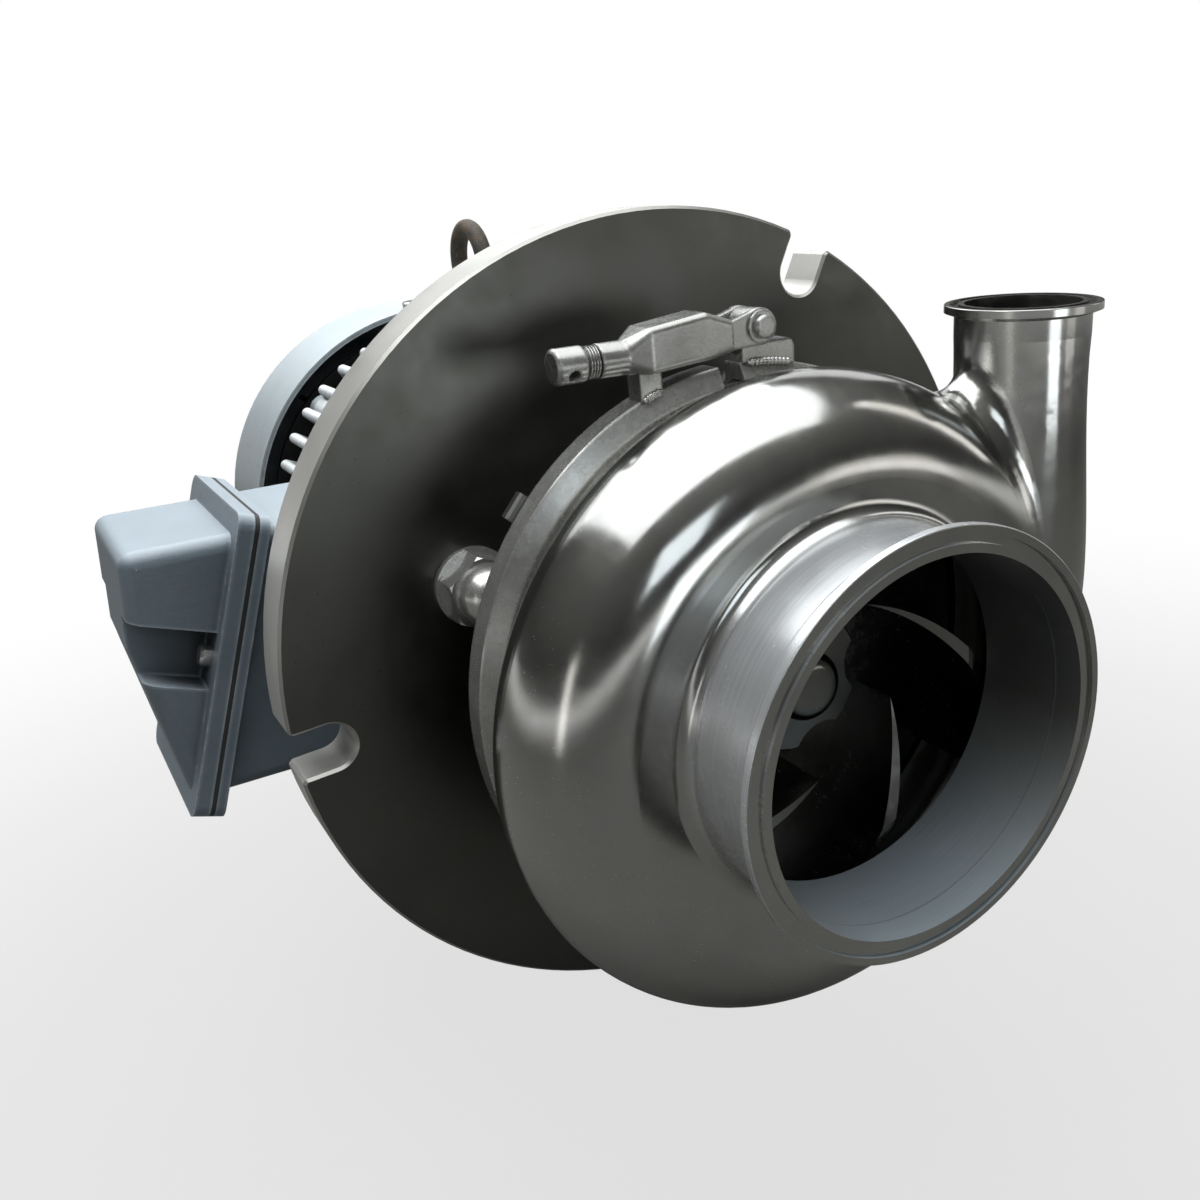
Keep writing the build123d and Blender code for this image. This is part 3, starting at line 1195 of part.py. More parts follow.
def clamp_lug():
    """Ear on the right half that carries the yoke pin."""
    start_y, end_y = JOINT_Y - LUG_T / 2, JOINT_Y + LUG_T / 2
    base_x = PIN_X - LUG_EYE_R
    neck_x = PIN_X + LUG_EYE_R
    outline = outline_xz((base_x, CLAMP_LIP_R), (base_x, PIN_Z), (neck_x, PIN_Z), (neck_x, LUG_END_Z),
                         (LUG_END_X, LUG_END_Z), (LUG_END_X, CLAMP_LIP_R))
    outline = fillet(outline.vertices().sort_by(Axis.X)[-2:].sort_by(Axis.Y)[-1], LUG_CORNER)
    body = plate_y(outline + Pos(PIN_X, PIN_Z) * Circle(LUG_EYE_R), start_y, end_y)
    return body - disc(start_y, end_y, CLAMP_R) - yoke_pin_rod(0)


def yoke_pin_rod(gap):
    half = FORK_HALF_W + RUNNING_GAP + PIN_WASHER_T
    return Pos(PIN_X, 0, PIN_Z) * rod_y(PIN_R + gap, JOINT_Y - half, JOINT_Y + half)


def yoke_pin():
    """Headed pin with a riveted tail."""
    half = FORK_HALF_W + RUNNING_GAP + PIN_WASHER_T
    head_y = JOINT_Y - half - PIN_HEAD_T
    head = disc(head_y, JOINT_Y - half, PIN_HEAD_R)
    head = chamfer(circle_edges(head, PIN_HEAD_R, head_y), EDGE_BREAK)
    tail = disc(JOINT_Y + half, JOINT_Y + half + PIN_HEAD_T / 2, PIN_R + EDGE_BREAK)
    return yoke_pin_rod(0) + Pos(PIN_X, 0, PIN_Z) * (head + tail)


def yoke_washers():
    inner = FORK_HALF_W + RUNNING_GAP
    front = ring(JOINT_Y - inner - PIN_WASHER_T, JOINT_Y - inner, PIN_R, PIN_WASHER_R)
    rear = ring(JOINT_Y + inner, JOINT_Y + inner + PIN_WASHER_T, PIN_R, PIN_WASHER_R)
    return [Pos(PIN_X, 0, PIN_Z) * front, Pos(PIN_X, 0, PIN_Z) * rear]


def clamp_trunnion():
    """Round-topped lug on the left half that the screw bears on."""
    start_y, end_y = JOINT_Y - LUG_T / 2, JOINT_Y + LUG_T / 2
    left_x, right_x = TRUNNION_X - TRUNNION_R, TRUNNION_X + TRUNNION_R
    post_outline = outline_xz((left_x, CLAMP_LIP_R), (left_x, TRUNNION_Z), (right_x, TRUNNION_Z),
                              (right_x, CLAMP_LIP_R))
    body = plate_y(post_outline + Pos(TRUNNION_X, TRUNNION_Z) * Circle(TRUNNION_R), start_y, end_y)
    return body - disc(start_y, end_y, CLAMP_R)


def yoke_section(x, foot_z, top_z, half_width, corner_r):
    """Rounded cross-section of the yoke at one place along it."""
    section = RectangleRounded(top_z - foot_z, 2 * half_width, corner_r)
    return Pos(x, JOINT_Y, (foot_z + top_z) / 2) * Rot(0, 90, 0) * section


def yoke_body():
    """Forged body that widens from the round neck to the fork."""
    half_width = FORK_HALF_W + YOKE_CHEEK
    neck = (YOKE_NECK_X, SCREW_Z - YOKE_TUBE_R, SCREW_Z + YOKE_TUBE_R, YOKE_TUBE_R, YOKE_TUBE_R - EDGE_BREAK)
    shoulder = (YOKE_SHOULDER_X, YOKE_SHOULDER_FOOT_Z, YOKE_SHOULDER_TOP_Z, half_width, YOKE_EDGE_R)
    ridge = (YOKE_RIDGE_X, YOKE_RIDGE_FOOT_Z, YOKE_RIDGE_TOP_Z, half_width, YOKE_EDGE_R)
    step = (YOKE_STEP_X, YOKE_STEP_FOOT_Z, YOKE_STEP_TOP_Z, half_width, YOKE_EDGE_R)
    return loft([yoke_section(*values) for values in (neck, shoulder, ridge, step)], ruled=True)


def yoke_fork():
    """Both arms of the fork and their eyes, before the slot between them is cut."""
    arms = outline_xz((YOKE_RIDGE_X, YOKE_STEP_FOOT_Z), (YOKE_RIDGE_X, YOKE_STEP_TOP_Z),
                      (YOKE_STEP_X, YOKE_STEP_TOP_Z - YOKE_CHEEK), (PIN_X, PIN_Z + YOKE_EYE_R),
                      (PIN_X, PIN_Z - YOKE_EYE_R), (YOKE_STEP_X, YOKE_STEP_FOOT_Z + YOKE_CHEEK))
    eye = Pos(PIN_X, PIN_Z) * Circle(YOKE_EYE_R)
    return plate_y(arms + eye, JOINT_Y - FORK_HALF_W, JOINT_Y + FORK_HALF_W)


def yoke_pocket():
    """Hollow under the yoke, open above between the arms of the fork."""
    outline = outline_xz((YOKE_POCKET_X, 0), (YOKE_POCKET_X, SCREW_Z + SCREW_R),
                         (YOKE_SHOULDER_X, YOKE_SHOULDER_TOP_Z - YOKE_WALL),
                         (YOKE_SLOT_X, YOKE_RIDGE_TOP_Z - YOKE_WALL), (YOKE_SLOT_X, CUT_REACH),
                         (CUT_REACH, CUT_REACH), (CUT_REACH, 0))
    return plate_y(outline, JOINT_Y - FORK_GAP_HALF_W, JOINT_Y + FORK_GAP_HALF_W)


def clamp_yoke():
    """Forged channel, open below, with a threaded tube at one end and a fork at the other."""
    body = yoke_body() + yoke_fork()
    body += rod_x(YOKE_TUBE_R, YOKE_TUBE_END_X, YOKE_POCKET_X, JOINT_Y, SCREW_Z)
    body -= yoke_pocket()
    body -= rod_x(SCREW_R + RUNNING_GAP, YOKE_TUBE_END_X, YOKE_POCKET_X, JOINT_Y, SCREW_Z)
    return body - yoke_pin_rod(RUNNING_GAP)


def clamp_screw():
    """Screw with a cross-drilled round head and a plain tip."""
    tip_root = SCREW_TIP_X - SCREW_TIP_L
    head_end = SCREW_HEAD_X - SCREW_HEAD_L
    head = rod_x(SCREW_HEAD_R, head_end, SCREW_HEAD_X, JOINT_Y, SCREW_Z)
    body = chamfer(head.edges().filter_by(GeomType.CIRCLE), EDGE_BREAK)
    body += rod_x(SCREW_R, SCREW_HEAD_X, tip_root, JOINT_Y, SCREW_Z)
    body += rod_x(SCREW_TIP_R, tip_root, SCREW_TIP_X, JOINT_Y, SCREW_Z)
    hole_x = head_end + SCREW_HEAD_L / 2
    hole = Rot(SCREW_CROSS_HOLE_ANGLE, 0, 0) * Cylinder(SCREW_CROSS_HOLE_R, 2 * SCREW_HEAD_R)
    return body - Pos(hole_x, JOINT_Y, SCREW_Z) * hole


PARTS = {
    "inlet_ferrule": inlet_ferrule,
    "discharge_ferrule": discharge_ferrule,
    "volute_casing": volute_casing,
    "casing_gasket": casing_gasket,
    "back_plate": back_plate,
    "back_plate_screws": back_plate_screws,
    "seal_seat": seal_seat,
    "seal_seat_ring": seal_seat_ring,
    "seal_cup": seal_cup,
    "seal_spring": seal_spring,
    "seal_face_ring": seal_face_ring,
    "impeller": impeller,
    "impeller_nut": impeller_nut,
    "stub_shaft": stub_shaft,
    "shaft_key": shaft_key,
    "shaft_collar": shaft_collar,
    "slinger": slinger,
    "motor_shaft": motor_shaft,
    "lantern_ring": lantern_ring,
    "mounting_disc": mounting_disc,
    "disc_studs": disc_studs,
    "disc_washers": disc_washers,
    "disc_dome_nuts": disc_dome_nuts,
    "motor_adapter": motor_adapter,
    "motor_face_screws": motor_face_screws,
    "front_end_bell": front_end_bell,
    "rear_end_bell": rear_end_bell,
    "end_bell_bolts": end_bell_bolts,
    "motor_frame": motor_frame,
    "lifting_eye": lifting_eye,
    "front_bearing_inner": lambda: bearing_inner(FRONT_BEARING_Y),
    "front_bearing_outer": lambda: bearing_outer(FRONT_BEARING_Y),
    "rear_bearing_inner": lambda: bearing_inner(REAR_BEARING_Y),
    "rear_bearing_outer": lambda: bearing_outer(REAR_BEARING_Y),
    "rotor_core": rotor_core,
    "stator_core": stator_core,
    "stator_windings": stator_windings,
    "cooling_fan": cooling_fan,
    "fan_cover": fan_cover,
    "fan_cover_screws": fan_cover_screws,
    "conduit_box_base": conduit_box_base,
    "conduit_box_gasket": conduit_box_gasket,
    "conduit_box_cover": conduit_box_cover,
    "conduit_box_screws": conduit_box_screws,
    "conduit_box_base_screws": conduit_box_base_screws,
    "clamp_half_left": clamp_half_left,
    "clamp_half_right": clamp_half_right,
    "clamp_hinge_pin": clamp_hinge_pin,
    "clamp_lug": clamp_lug,
    "clamp_trunnion": clamp_trunnion,
    "yoke_pin": yoke_pin,
    "yoke_washers": yoke_washers,
    "clamp_yoke": clamp_yoke,
    "clamp_screw": clamp_screw,
}


def write_parts():
    os.makedirs("parts", exist_ok=True)
    for name, make in PARTS.items():
        shape = make()
        if isinstance(shape, list):
            shape = Compound(children=shape)
        export_step(shape, f"parts/{name}.step")


write_parts()
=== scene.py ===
import json
import math
import random

import bpy
from mathutils import Matrix, Vector


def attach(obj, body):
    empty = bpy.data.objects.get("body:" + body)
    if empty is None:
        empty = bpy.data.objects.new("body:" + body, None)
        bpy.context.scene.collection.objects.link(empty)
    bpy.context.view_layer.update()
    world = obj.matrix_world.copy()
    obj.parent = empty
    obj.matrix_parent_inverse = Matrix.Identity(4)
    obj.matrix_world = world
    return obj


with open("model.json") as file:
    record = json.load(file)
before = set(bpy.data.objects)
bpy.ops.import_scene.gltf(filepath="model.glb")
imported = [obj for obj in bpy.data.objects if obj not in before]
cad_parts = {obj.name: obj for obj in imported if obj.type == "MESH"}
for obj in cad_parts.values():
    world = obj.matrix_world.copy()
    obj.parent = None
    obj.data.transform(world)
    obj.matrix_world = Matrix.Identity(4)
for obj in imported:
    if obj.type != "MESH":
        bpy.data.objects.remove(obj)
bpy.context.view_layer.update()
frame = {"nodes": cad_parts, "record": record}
NODES = frame["nodes"]
scene = bpy.context.scene

# Places on the CAD pieces, in metres. A fade runs from where a finish begins to where it is full.
FERRULE_LENGTH = 0.0127
BORE_FADE_Y = (0.095, 0.05)
NECK_FADE_Y = (0.046, 0.040)
NECK_FADE_R = (0.10, 0.09)
JOINT_Y = 0.119
CLAMP_R = 0.126
LUG_HALF_T = 0.005
LUG_FOOT_X = (0.0025, 0.0245)
TRUNNION_FOOT_X = (-0.0452, -0.0368)
SCREW_Z = 0.134
SCREW_R = 0.005
THREAD_START_X = -0.0611
THREAD_END_X = -0.0657

WHITE = (1.0, 1.0, 1.0, 1.0)


# Camera, at the photograph's viewing angle

CAMERA_PLACE = (-0.2535, -0.2663, 0.1940)
CAMERA_YAW, CAMERA_TILT, CAMERA_ROLL = -0.565945, 0.398165, -0.060263
LENS, SENSOR_WIDTH = 34.35, 36.0
LENS_SHIFT = (-0.1115, 0.0478)


def make_camera():
    data = bpy.data.cameras.new("camera")
    data.lens, data.sensor_width = LENS, SENSOR_WIDTH
    data.shift_x, data.shift_y = LENS_SHIFT
    data.clip_start, data.clip_end = 0.01, 50.0
    camera = bpy.data.objects.new("camera", data)
    yaw = Matrix.Rotation(CAMERA_YAW, 4, "Z")
    tilt = Matrix.Rotation(math.pi / 2 - CAMERA_TILT, 4, "X")
    turn = yaw @ tilt @ Matrix.Rotation(CAMERA_ROLL, 4, "Z")
    camera.matrix_world = Matrix.Translation(CAMERA_PLACE) @ turn
    scene.collection.objects.link(camera)
    scene.camera = camera


make_camera()


# Material building

BEVEL_SAMPLES = 6
FINE_LINES = 2600.0  # noise cells per metre


class Tree:
    """A node tree being built, with short calls for the nodes it needs."""

    def __init__(self, tree):
        self.tree = tree
        tree.nodes.clear()

    def add(self, kind, **values):
        node = self.tree.nodes.new(kind)
        for key, value in values.items():
            setattr(node, key, value)
        return node

    def link(self, source, target):
        self.tree.links.new(source, target)

    def feed(self, target, value):
        if hasattr(value, "is_output"):
            self.link(value, target)
        else:
            target.default_value = value

    def math(self, operation, first, second=0.0, clamp=False):
        node = self.add("ShaderNodeMath", operation=operation, use_clamp=clamp)
        for socket, value in zip(node.inputs, (first, second)):
            self.feed(socket, value)
        return node.outputs[0]

    def times(self, first, second, clamp=False):
        return self.math("MULTIPLY", first, second, clamp)

    def plus(self, value, mask, amount, clamp=False):
        """The value, with the amount added where the mask is 1."""
        return self.math("ADD", value, self.times(mask, amount), clamp)

    def weigh(self, first, second, share):
        return self.math("ADD", self.times(first, share), self.times(second, 1.0 - share))

    def length(self, first, second):
        squares = (self.times(side, side) for side in (first, second))
        return self.math("SQRT", self.math("ADD", *squares))

    def split(self, vector):
        node = self.add("ShaderNodeSeparateXYZ")
        self.link(vector, node.inputs[0])
        return node.outputs

    def span(self, value, low, high, to_low=0.0, to_high=1.0, smooth=False):
        """The value mapped from low..high to to_low..to_high, and held beyond."""
        kind = "SMOOTHSTEP" if smooth else "LINEAR"
        node = self.add("ShaderNodeMapRange", interpolation_type=kind)
        self.feed(node.inputs["Value"], value)
        limits = {"From Min": low, "From Max": high, "To Min": to_low, "To Max": to_high}
        for name, number in limits.items():
            node.inputs[name].default_value = number
        return node.outputs["Result"]

    def seen_by(self):
        """Whether the ray is the camera's, and whether it comes off a mirror or through glass."""
        path = self.add("ShaderNodeLightPath").outputs
        mirrored = self.math("ADD", path["Is Glossy Ray"], path["Is Transmission Ray"], clamp=True)
        return path["Is Camera Ray"], mirrored

    def show_white(self, kind, amount, lit, output):
        """Shows white at strength 1 in place of the lit surface, by the amount given."""
        white = self.add(kind)
        white.inputs["Color"].default_value = WHITE
        white.inputs["Strength"].default_value = 1.0
        blend = self.add("ShaderNodeMixShader")
        self.link(amount, blend.inputs["Fac"])
        self.link(lit, blend.inputs[1])
        self.link(white.outputs[0], blend.inputs[2])
        self.link(blend.outputs[0], output.inputs["Surface"])


class Shader(Tree):
    """A material with one principled surface."""

    def __init__(self, name):
        self.material = bpy.data.materials.new(name)
        self.material.use_nodes = True
        super().__init__(self.material.node_tree)
        self.output = self.add("ShaderNodeOutputMaterial")
        self.surface = self.add("ShaderNodeBsdfPrincipled")
        self.link(self.surface.outputs[0], self.output.inputs["Surface"])
        self.place = self.add("ShaderNodeTexCoord").outputs["Object"]
        self.cylindrical = None

    def noise(self, scale, detail=4.0, roughness=0.55, vector=None, distortion=0.0):
        node = self.add("ShaderNodeTexNoise")
        self.link(vector or self.place, node.inputs["Vector"])
        node.inputs["Scale"].default_value = scale
        node.inputs["Detail"].default_value = detail
        node.inputs["Roughness"].default_value = roughness
        node.inputs["Distortion"].default_value = distortion
        return node.outputs["Fac"]

    def cells(self, scale, vector=None):
        node = self.add("ShaderNodeTexVoronoi", feature="F1")
        self.link(vector or self.place, node.inputs["Vector"])
        node.inputs["Scale"].default_value = scale
        return node.outputs["Distance"]

    def mix(self, factor, first, second):
        node = self.add("ShaderNodeMix", data_type="RGBA")
        self.feed(node.inputs["Factor"], factor)
        for name, value in (("A", first), ("B", second)):
            socket = next(s for s in node.inputs if s.name == name and s.type == "RGBA")
            self.feed(socket, value if hasattr(value, "is_output") else (*value, 1.0))
        return next(s for s in node.outputs if s.type == "RGBA")

    def round_shaft(self):
        """Radius from the shaft, place along it and angle round it."""
        if self.cylindrical is None:
            x, y, z = self.split(self.place)
            self.cylindrical = (self.length(x, z), y, self.math("ARCTAN2", z, x))
        return self.cylindrical

    def turned_lines(self, scale=FINE_LINES, angular=0.35):
        """Fine tool marks that run round the shaft."""
        radius, along, angle = self.round_shaft()
        vector = self.add("ShaderNodeCombineXYZ")
        for socket, value, stretch in zip(vector.inputs, (radius, along, angle),
                                          (scale, scale, angular)):
            self.link(self.times(value, stretch), socket)
        return self.noise(1.0, 3.0, 0.6, vector.outputs[0])

    def true_normal(self):
        return self.add("ShaderNodeNewGeometry").outputs["Normal"]

    def facing_out(self):
        """From -1 on a wall that faces the shaft to 1 on one that faces away from it."""
        normal, place = self.split(self.true_normal()), self.split(self.place)
        sideways, upwards = (self.times(normal[axis], place[axis]) for axis in (0, 2))
        return self.math("DIVIDE", self.math("ADD", sideways, upwards), self.round_shaft()[0])

    def facing_up(self, low, high):
        return self.span(self.split(self.true_normal())[2], low, high)

    def bump(self, height, strength, distance, normal=None):
        node = self.add("ShaderNodeBump")
        self.feed(node.inputs["Height"], height)
        node.inputs["Strength"].default_value = strength
        node.inputs["Distance"].default_value = distance
        if normal is not None:
            self.link(normal, node.inputs["Normal"])
        return node.outputs["Normal"]

    def soft_normal(self, radius):
        bevel = self.add("ShaderNodeBevel", samples=BEVEL_SAMPLES)
        bevel.inputs["Radius"].default_value = radius
        return bevel.outputs[0]

    def sharp_edge(self, radius):
        """How sharply the surface turns here, from 0 on a flat to 1 on an edge."""
        dot = self.add("ShaderNodeVectorMath", operation="DOT_PRODUCT")
        self.link(self.soft_normal(radius), dot.inputs[0])
        self.link(self.true_normal(), dot.inputs[1])
        return self.span(self.math("SUBTRACT", 1.0, dot.outputs["Value"]), 0.02, 0.12)

    def finish(self, color, roughness, metallic, normal=None):
        inputs = self.surface.inputs
        self.feed(inputs["Base Color"], color)
        self.feed(inputs["Roughness"], roughness)
        self.feed(inputs["Metallic"], metallic)
        if normal is not None:
            self.link(normal, inputs["Normal"])
        return self.material


def toned(color, factor, lift=0.0):
    """The color made darker or lighter, each channel held at 1."""
    return tuple(min(1.0, channel * factor + lift) for channel in color)


# Materials

STEEL_WARMTH = (1.0, 1.0, 0.94)
PIT_SCALE = 210.0
GRAIN_SCALE = 900.0
WAVE_SCALE = 14.0
EDGE_WIDTH = 0.0012
PAINT_EDGE_WIDTH = 0.003
# Reach of the painted shade in paint recesses.
PAINTED_SHADE_REACH = 0.03
SEAM_WIDTH = 0.0005
SCRATCH_SETS = ((55.0, (0.3, 0.9, 0.4)), (80.0, (1.2, 0.2, 1.9)))  # scale and direction
SCRATCH_CELL = (12.0, 0.5, 12.0)  # cells that are long in one direction
SCRATCH_WIDTH = 0.09  # share of a cell

# Painted reflection of the sky on the inlet's low wall, from dark to light.
PAINTED_BORE_REFLECTION = ((0.20, 0.24, 0.27), (0.44, 0.50, 0.54))
SEAM_COLOR = (0.12, 0.13, 0.14)
BRUSHED_NECK = ((0.32, 0.33, 0.34), (0.80, 0.82, 0.84))
BARE_METAL = (0.45, 0.44, 0.42)
GRIME = (0.11, 0.10, 0.085)
# Painted shade for walls that face the shaft.
PAINTED_INSIDE_SHADE = (0.012, 0.013, 0.014)


def scratches(s, scale, direction):
    """Sparse short scratches in one direction: thin slices through long cells."""
    turned = s.add("ShaderNodeMapping")
    s.link(s.place, turned.inputs["Vector"])
    turned.inputs["Rotation"].default_value = direction
    turned.inputs["Scale"].default_value = [scale * side for side in SCRATCH_CELL]
    return s.span(s.cells(1.0, turned.outputs[0]), 0.0, SCRATCH_WIDTH, 1.0, 0.0)


def steel(name, color, rough, dark=0.75, cloud=18.0, lines=0.0, line_scale=FINE_LINES, grain=0.0,
          hair=0.3, wave=0.0, edge=0.0, metallic=1.0, soft=0.0, cut_faces=None, bore=False,
          thread=False):
    """Stainless steel with handling marks, scratches and pits, and optional finer surfaces."""
    s = Shader(name)
    clouds = s.noise(cloud, 6.0, 0.6, distortion=0.4)
    smears = s.noise(cloud * 7.0, 4.0, 0.6)
    warm = tuple(channel * tint for channel, tint in zip(color, STEEL_WARMTH))
    base = s.mix(s.span(smears, 0.35, 0.7), color, warm)
    base = s.mix(s.span(clouds, 0.32, 0.68, dark, 1.0), toned(color, 0.45), base)
    pits = s.times(s.span(s.cells(PIT_SCALE), 0.05, 0.10, 1.0, 0.0), s.span(smears, 0.45, 0.6))
    base = s.mix(s.times(pits, 0.7), base, toned(color, 0.3))
    marks = s.math("MAXIMUM", *(scratches(s, *scratch_set) for scratch_set in SCRATCH_SETS))
    marks = s.times(marks, s.span(clouds, 0.40, 0.55))
    base = s.mix(s.times(marks, hair), base, toned(color, 1.8))
    roughness = s.span(s.weigh(clouds, smears, 0.6), 0.35, 0.65, rough * 0.72, rough * 1.35)
    roughness = s.plus(roughness, marks, hair * 0.25)
    normal = s.bump(marks, hair * 0.25, 0.0001, s.soft_normal(soft) if soft else None)
    if grain:
        normal = s.bump(s.noise(GRAIN_SCALE, 3.0, 0.6), grain, 0.0004, normal)
    if lines:
        turned = s.turned_lines(line_scale)
        normal = s.bump(turned, lines, 0.00025, normal)
        roughness = s.plus(roughness, s.math("SUBTRACT", turned, 0.5), lines * 0.3)
    if wave:
        normal = s.bump(s.noise(WAVE_SCALE, 2.0, 0.4), wave, 0.004, normal)
    if edge:
        base = s.mix(s.times(s.sharp_edge(EDGE_WIDTH), edge), base, toned(color, 1.35))
    if cut_faces:
        base, metallic = sawn_sides(s, base, cut_faces)
    if bore:
        base, roughness, metallic, normal = dull_bore_painted_reflection(s, clouds, base, roughness, normal)
        base, roughness, metallic, normal = brushed_neck(s, clouds, base, roughness, metallic,
                                                         normal)
    if thread:
        height, shank = screw_thread(s)
        normal = s.bump(height, 1.0, 0.0006, normal)
        base = s.mix(shank, base, toned(color, 0.35))
    return s.finish(base, roughness, metallic, normal)


def sawn_sides(s, base, color):
    """Paler sawn metal on every side that doesn't face along the shaft."""
    facing_along = s.math("ABSOLUTE", s.split(s.true_normal())[1])
    cut = s.span(facing_along, 0.55, 0.9, 1.0, 0.0)
    strokes = s.add("ShaderNodeVectorMath", operation="MULTIPLY")
    s.link(s.place, strokes.inputs[0])
    strokes.inputs[1].default_value = (90.0, FINE_LINES, 90.0)
    sawn = s.mix(s.noise(1.0, 3.0, 0.6, strokes.outputs[0]), toned(color, 0.8), color)
    return s.mix(cut, base, sawn), s.plus(1.0, cut, -0.45)


def dull_bore_painted_reflection(s, clouds, base, roughness, normal):
    """Dull inner wall of the inlet with the ferrule's seam, and a bluish painted reflection of the
    sky where it lies low and faces up.
    """
    along = s.round_shaft()[1]
    bore = s.times(s.span(s.facing_out(), -0.3, -0.7), s.span(along, *BORE_FADE_Y))
    # Painted reflection: where the low wall faces up, a bluish matt grey with its metal mostly
    # turned off stands in for the sky it mirrors.
    sky_reflection_mask = s.times(bore, s.facing_up(0.1, 0.95))
    sky_reflection_and_seam = s.mix(s.weigh(s.turned_lines(1500.0, 1.5), clouds, 0.6), *PAINTED_BORE_REFLECTION)
    from_seam = s.math("ABSOLUTE", s.math("SUBTRACT", along, FERRULE_LENGTH))
    seam = s.span(from_seam, 0.0, SEAM_WIDTH, 1.0, 0.0)
    sky_reflection_and_seam = s.mix(s.times(seam, 0.6), sky_reflection_and_seam, SEAM_COLOR)
    base = s.mix(sky_reflection_mask, base, sky_reflection_and_seam)
    roughness = s.plus(roughness, bore, 0.3)
    metallic = s.plus(1.0, sky_reflection_mask, -0.8)
    return base, roughness, metallic, s.bump(seam, 0.3, 0.0003, normal)


def brushed_neck(s, clouds, base, roughness, metallic, normal):
    """Paler, brushed outside of the inlet's neck and ferrule."""
    radius, along = s.round_shaft()[:2]
    neck = s.times(s.span(s.facing_out(), 0.25, 0.7), s.span(along, *NECK_FADE_Y))
    neck = s.times(neck, s.span(radius, *NECK_FADE_R))
    lines = s.turned_lines(1700.0, 0.9)
    base = s.mix(neck, base, s.mix(s.weigh(lines, clouds, 0.7), *BRUSHED_NECK))
    roughness = s.plus(roughness, neck, 0.09)
    metallic = s.plus(metallic, neck, -0.4, clamp=True)
    return base, roughness, metallic, s.bump(s.times(lines, neck), 0.12, 0.0002, normal)


def screw_thread(s):
    """Height of the thread on the screw's shank, 0 on its head, and where the shank is."""
    x, y, z = s.split(s.place)
    side, up = s.math("SUBTRACT", y, JOINT_Y), s.math("SUBTRACT", z, SCREW_Z)
    turn = s.math("DIVIDE", s.math("ARCTAN2", up, side), 2.0 * math.pi)
    phase = s.math("FRACT", s.plus(turn, x, 1000.0))
    shank = s.span(s.length(side, up), SCREW_R + 0.0003, SCREW_R + 0.0001)
    return s.times(s.math("PINGPONG", phase, 0.5), shank), shank


def paint(name, color, rough, grain=0.3, grain_scale=260.0, chips=0.4, dirt=0.5, metal=BARE_METAL,
          painted_top_light=0.0, painted_inside_shade=False):
    """Sprayed paint over cast or sheet metal: grimy in clouds, chipped edges, and painted light:
    paler upward faces, paler edges as a painted highlight, painted shade in recesses and, where
    asked, on walls that face the shaft.
    """
    s = Shader(name)
    # Pale tone for painted light: on upward faces and as a painted highlight along edges.
    painted_light_tone = toned(color, 1.6, 0.14)
    clouds = s.noise(9.0, 6.0, 0.6)
    specks = s.noise(140.0, 5.0, 0.65)
    base = s.mix(s.span(clouds, 0.35, 0.65), toned(color, 1.0 - 0.35 * dirt), toned(color, 1.12))
    base = s.mix(s.times(s.span(specks, 0.56, 0.72), dirt), base, GRIME)
    # Painted light from above: faces that point up are made paler, in patches.
    top_light_patches = s.span(clouds, 0.25, 0.6, 0.75 * painted_top_light, painted_top_light)
    base = s.mix(s.times(s.facing_up(0.35, 0.9), top_light_patches), base, painted_light_tone)
    # Painted shade: walls that face the shaft are painted near black.
    if painted_inside_shade:
        base = s.mix(s.span(s.facing_out(), -0.2, -0.5), base, PAINTED_INSIDE_SHADE)
    # Painted shade: paint darkened in recesses and gaps, down to 0.12 of its colour, by ambient
    # occlusion.
    recess_shade = s.add("ShaderNodeAmbientOcclusion", samples=4)
    recess_shade.inputs["Distance"].default_value = PAINTED_SHADE_REACH
    base = s.mix(s.span(recess_shade.outputs["AO"], 0.25, 0.8), toned(color, 0.12), base)
    # Painted highlight: paint made paler along its edges.
    base = s.mix(s.times(s.sharp_edge(PAINT_EDGE_WIDTH), 0.45), base, painted_light_tone)
    broken = s.span(s.noise(170.0, 5.0, 0.7), 0.52, 0.60)
    bare = s.times(s.times(s.sharp_edge(EDGE_WIDTH), broken), chips, clamp=True)
    base = s.mix(bare, base, metal)
    roughness = s.span(clouds, 0.3, 0.7, rough * 0.85, rough * 1.2)
    normal = s.bump(s.noise(grain_scale, 4.0, 0.6), grain, 0.0006)
    normal = s.bump(s.math("SUBTRACT", 1.0, bare), 0.4, 0.0003, normal)
    s.surface.inputs["Specular IOR Level"].default_value = 0.45
    return s.finish(base, roughness, 0.0, normal)


def plain(name, color, rough, metallic=0.0, scale=300.0):
    """Material of a small or hidden piece, with a grain of its own."""
    s = Shader(name)
    field = s.noise(scale, 4.0, 0.6)
    base = s.mix(field, toned(color, 0.75), toned(color, 1.25))
    roughness = s.span(field, 0.3, 0.7, rough * 0.85, rough * 1.15)
    return s.finish(base, roughness, metallic, s.bump(field, 0.25, 0.0003))


def rust(name):
    """Dark forged steel with light rust."""
    s = Shader(name)
    blotch = s.noise(120.0, 6.0, 0.7)
    fine = s.noise(900.0, 4.0, 0.6)
    base = s.mix(s.span(blotch, 0.42, 0.62), (0.055, 0.052, 0.046), (0.13, 0.095, 0.062))
    base = s.mix(s.span(fine, 0.6, 0.75), base, (0.24, 0.21, 0.17))
    roughness = s.span(blotch, 0.3, 0.7, 0.55, 0.85)
    return s.finish(base, roughness, 0.35, s.bump(fine, 0.5, 0.0005))


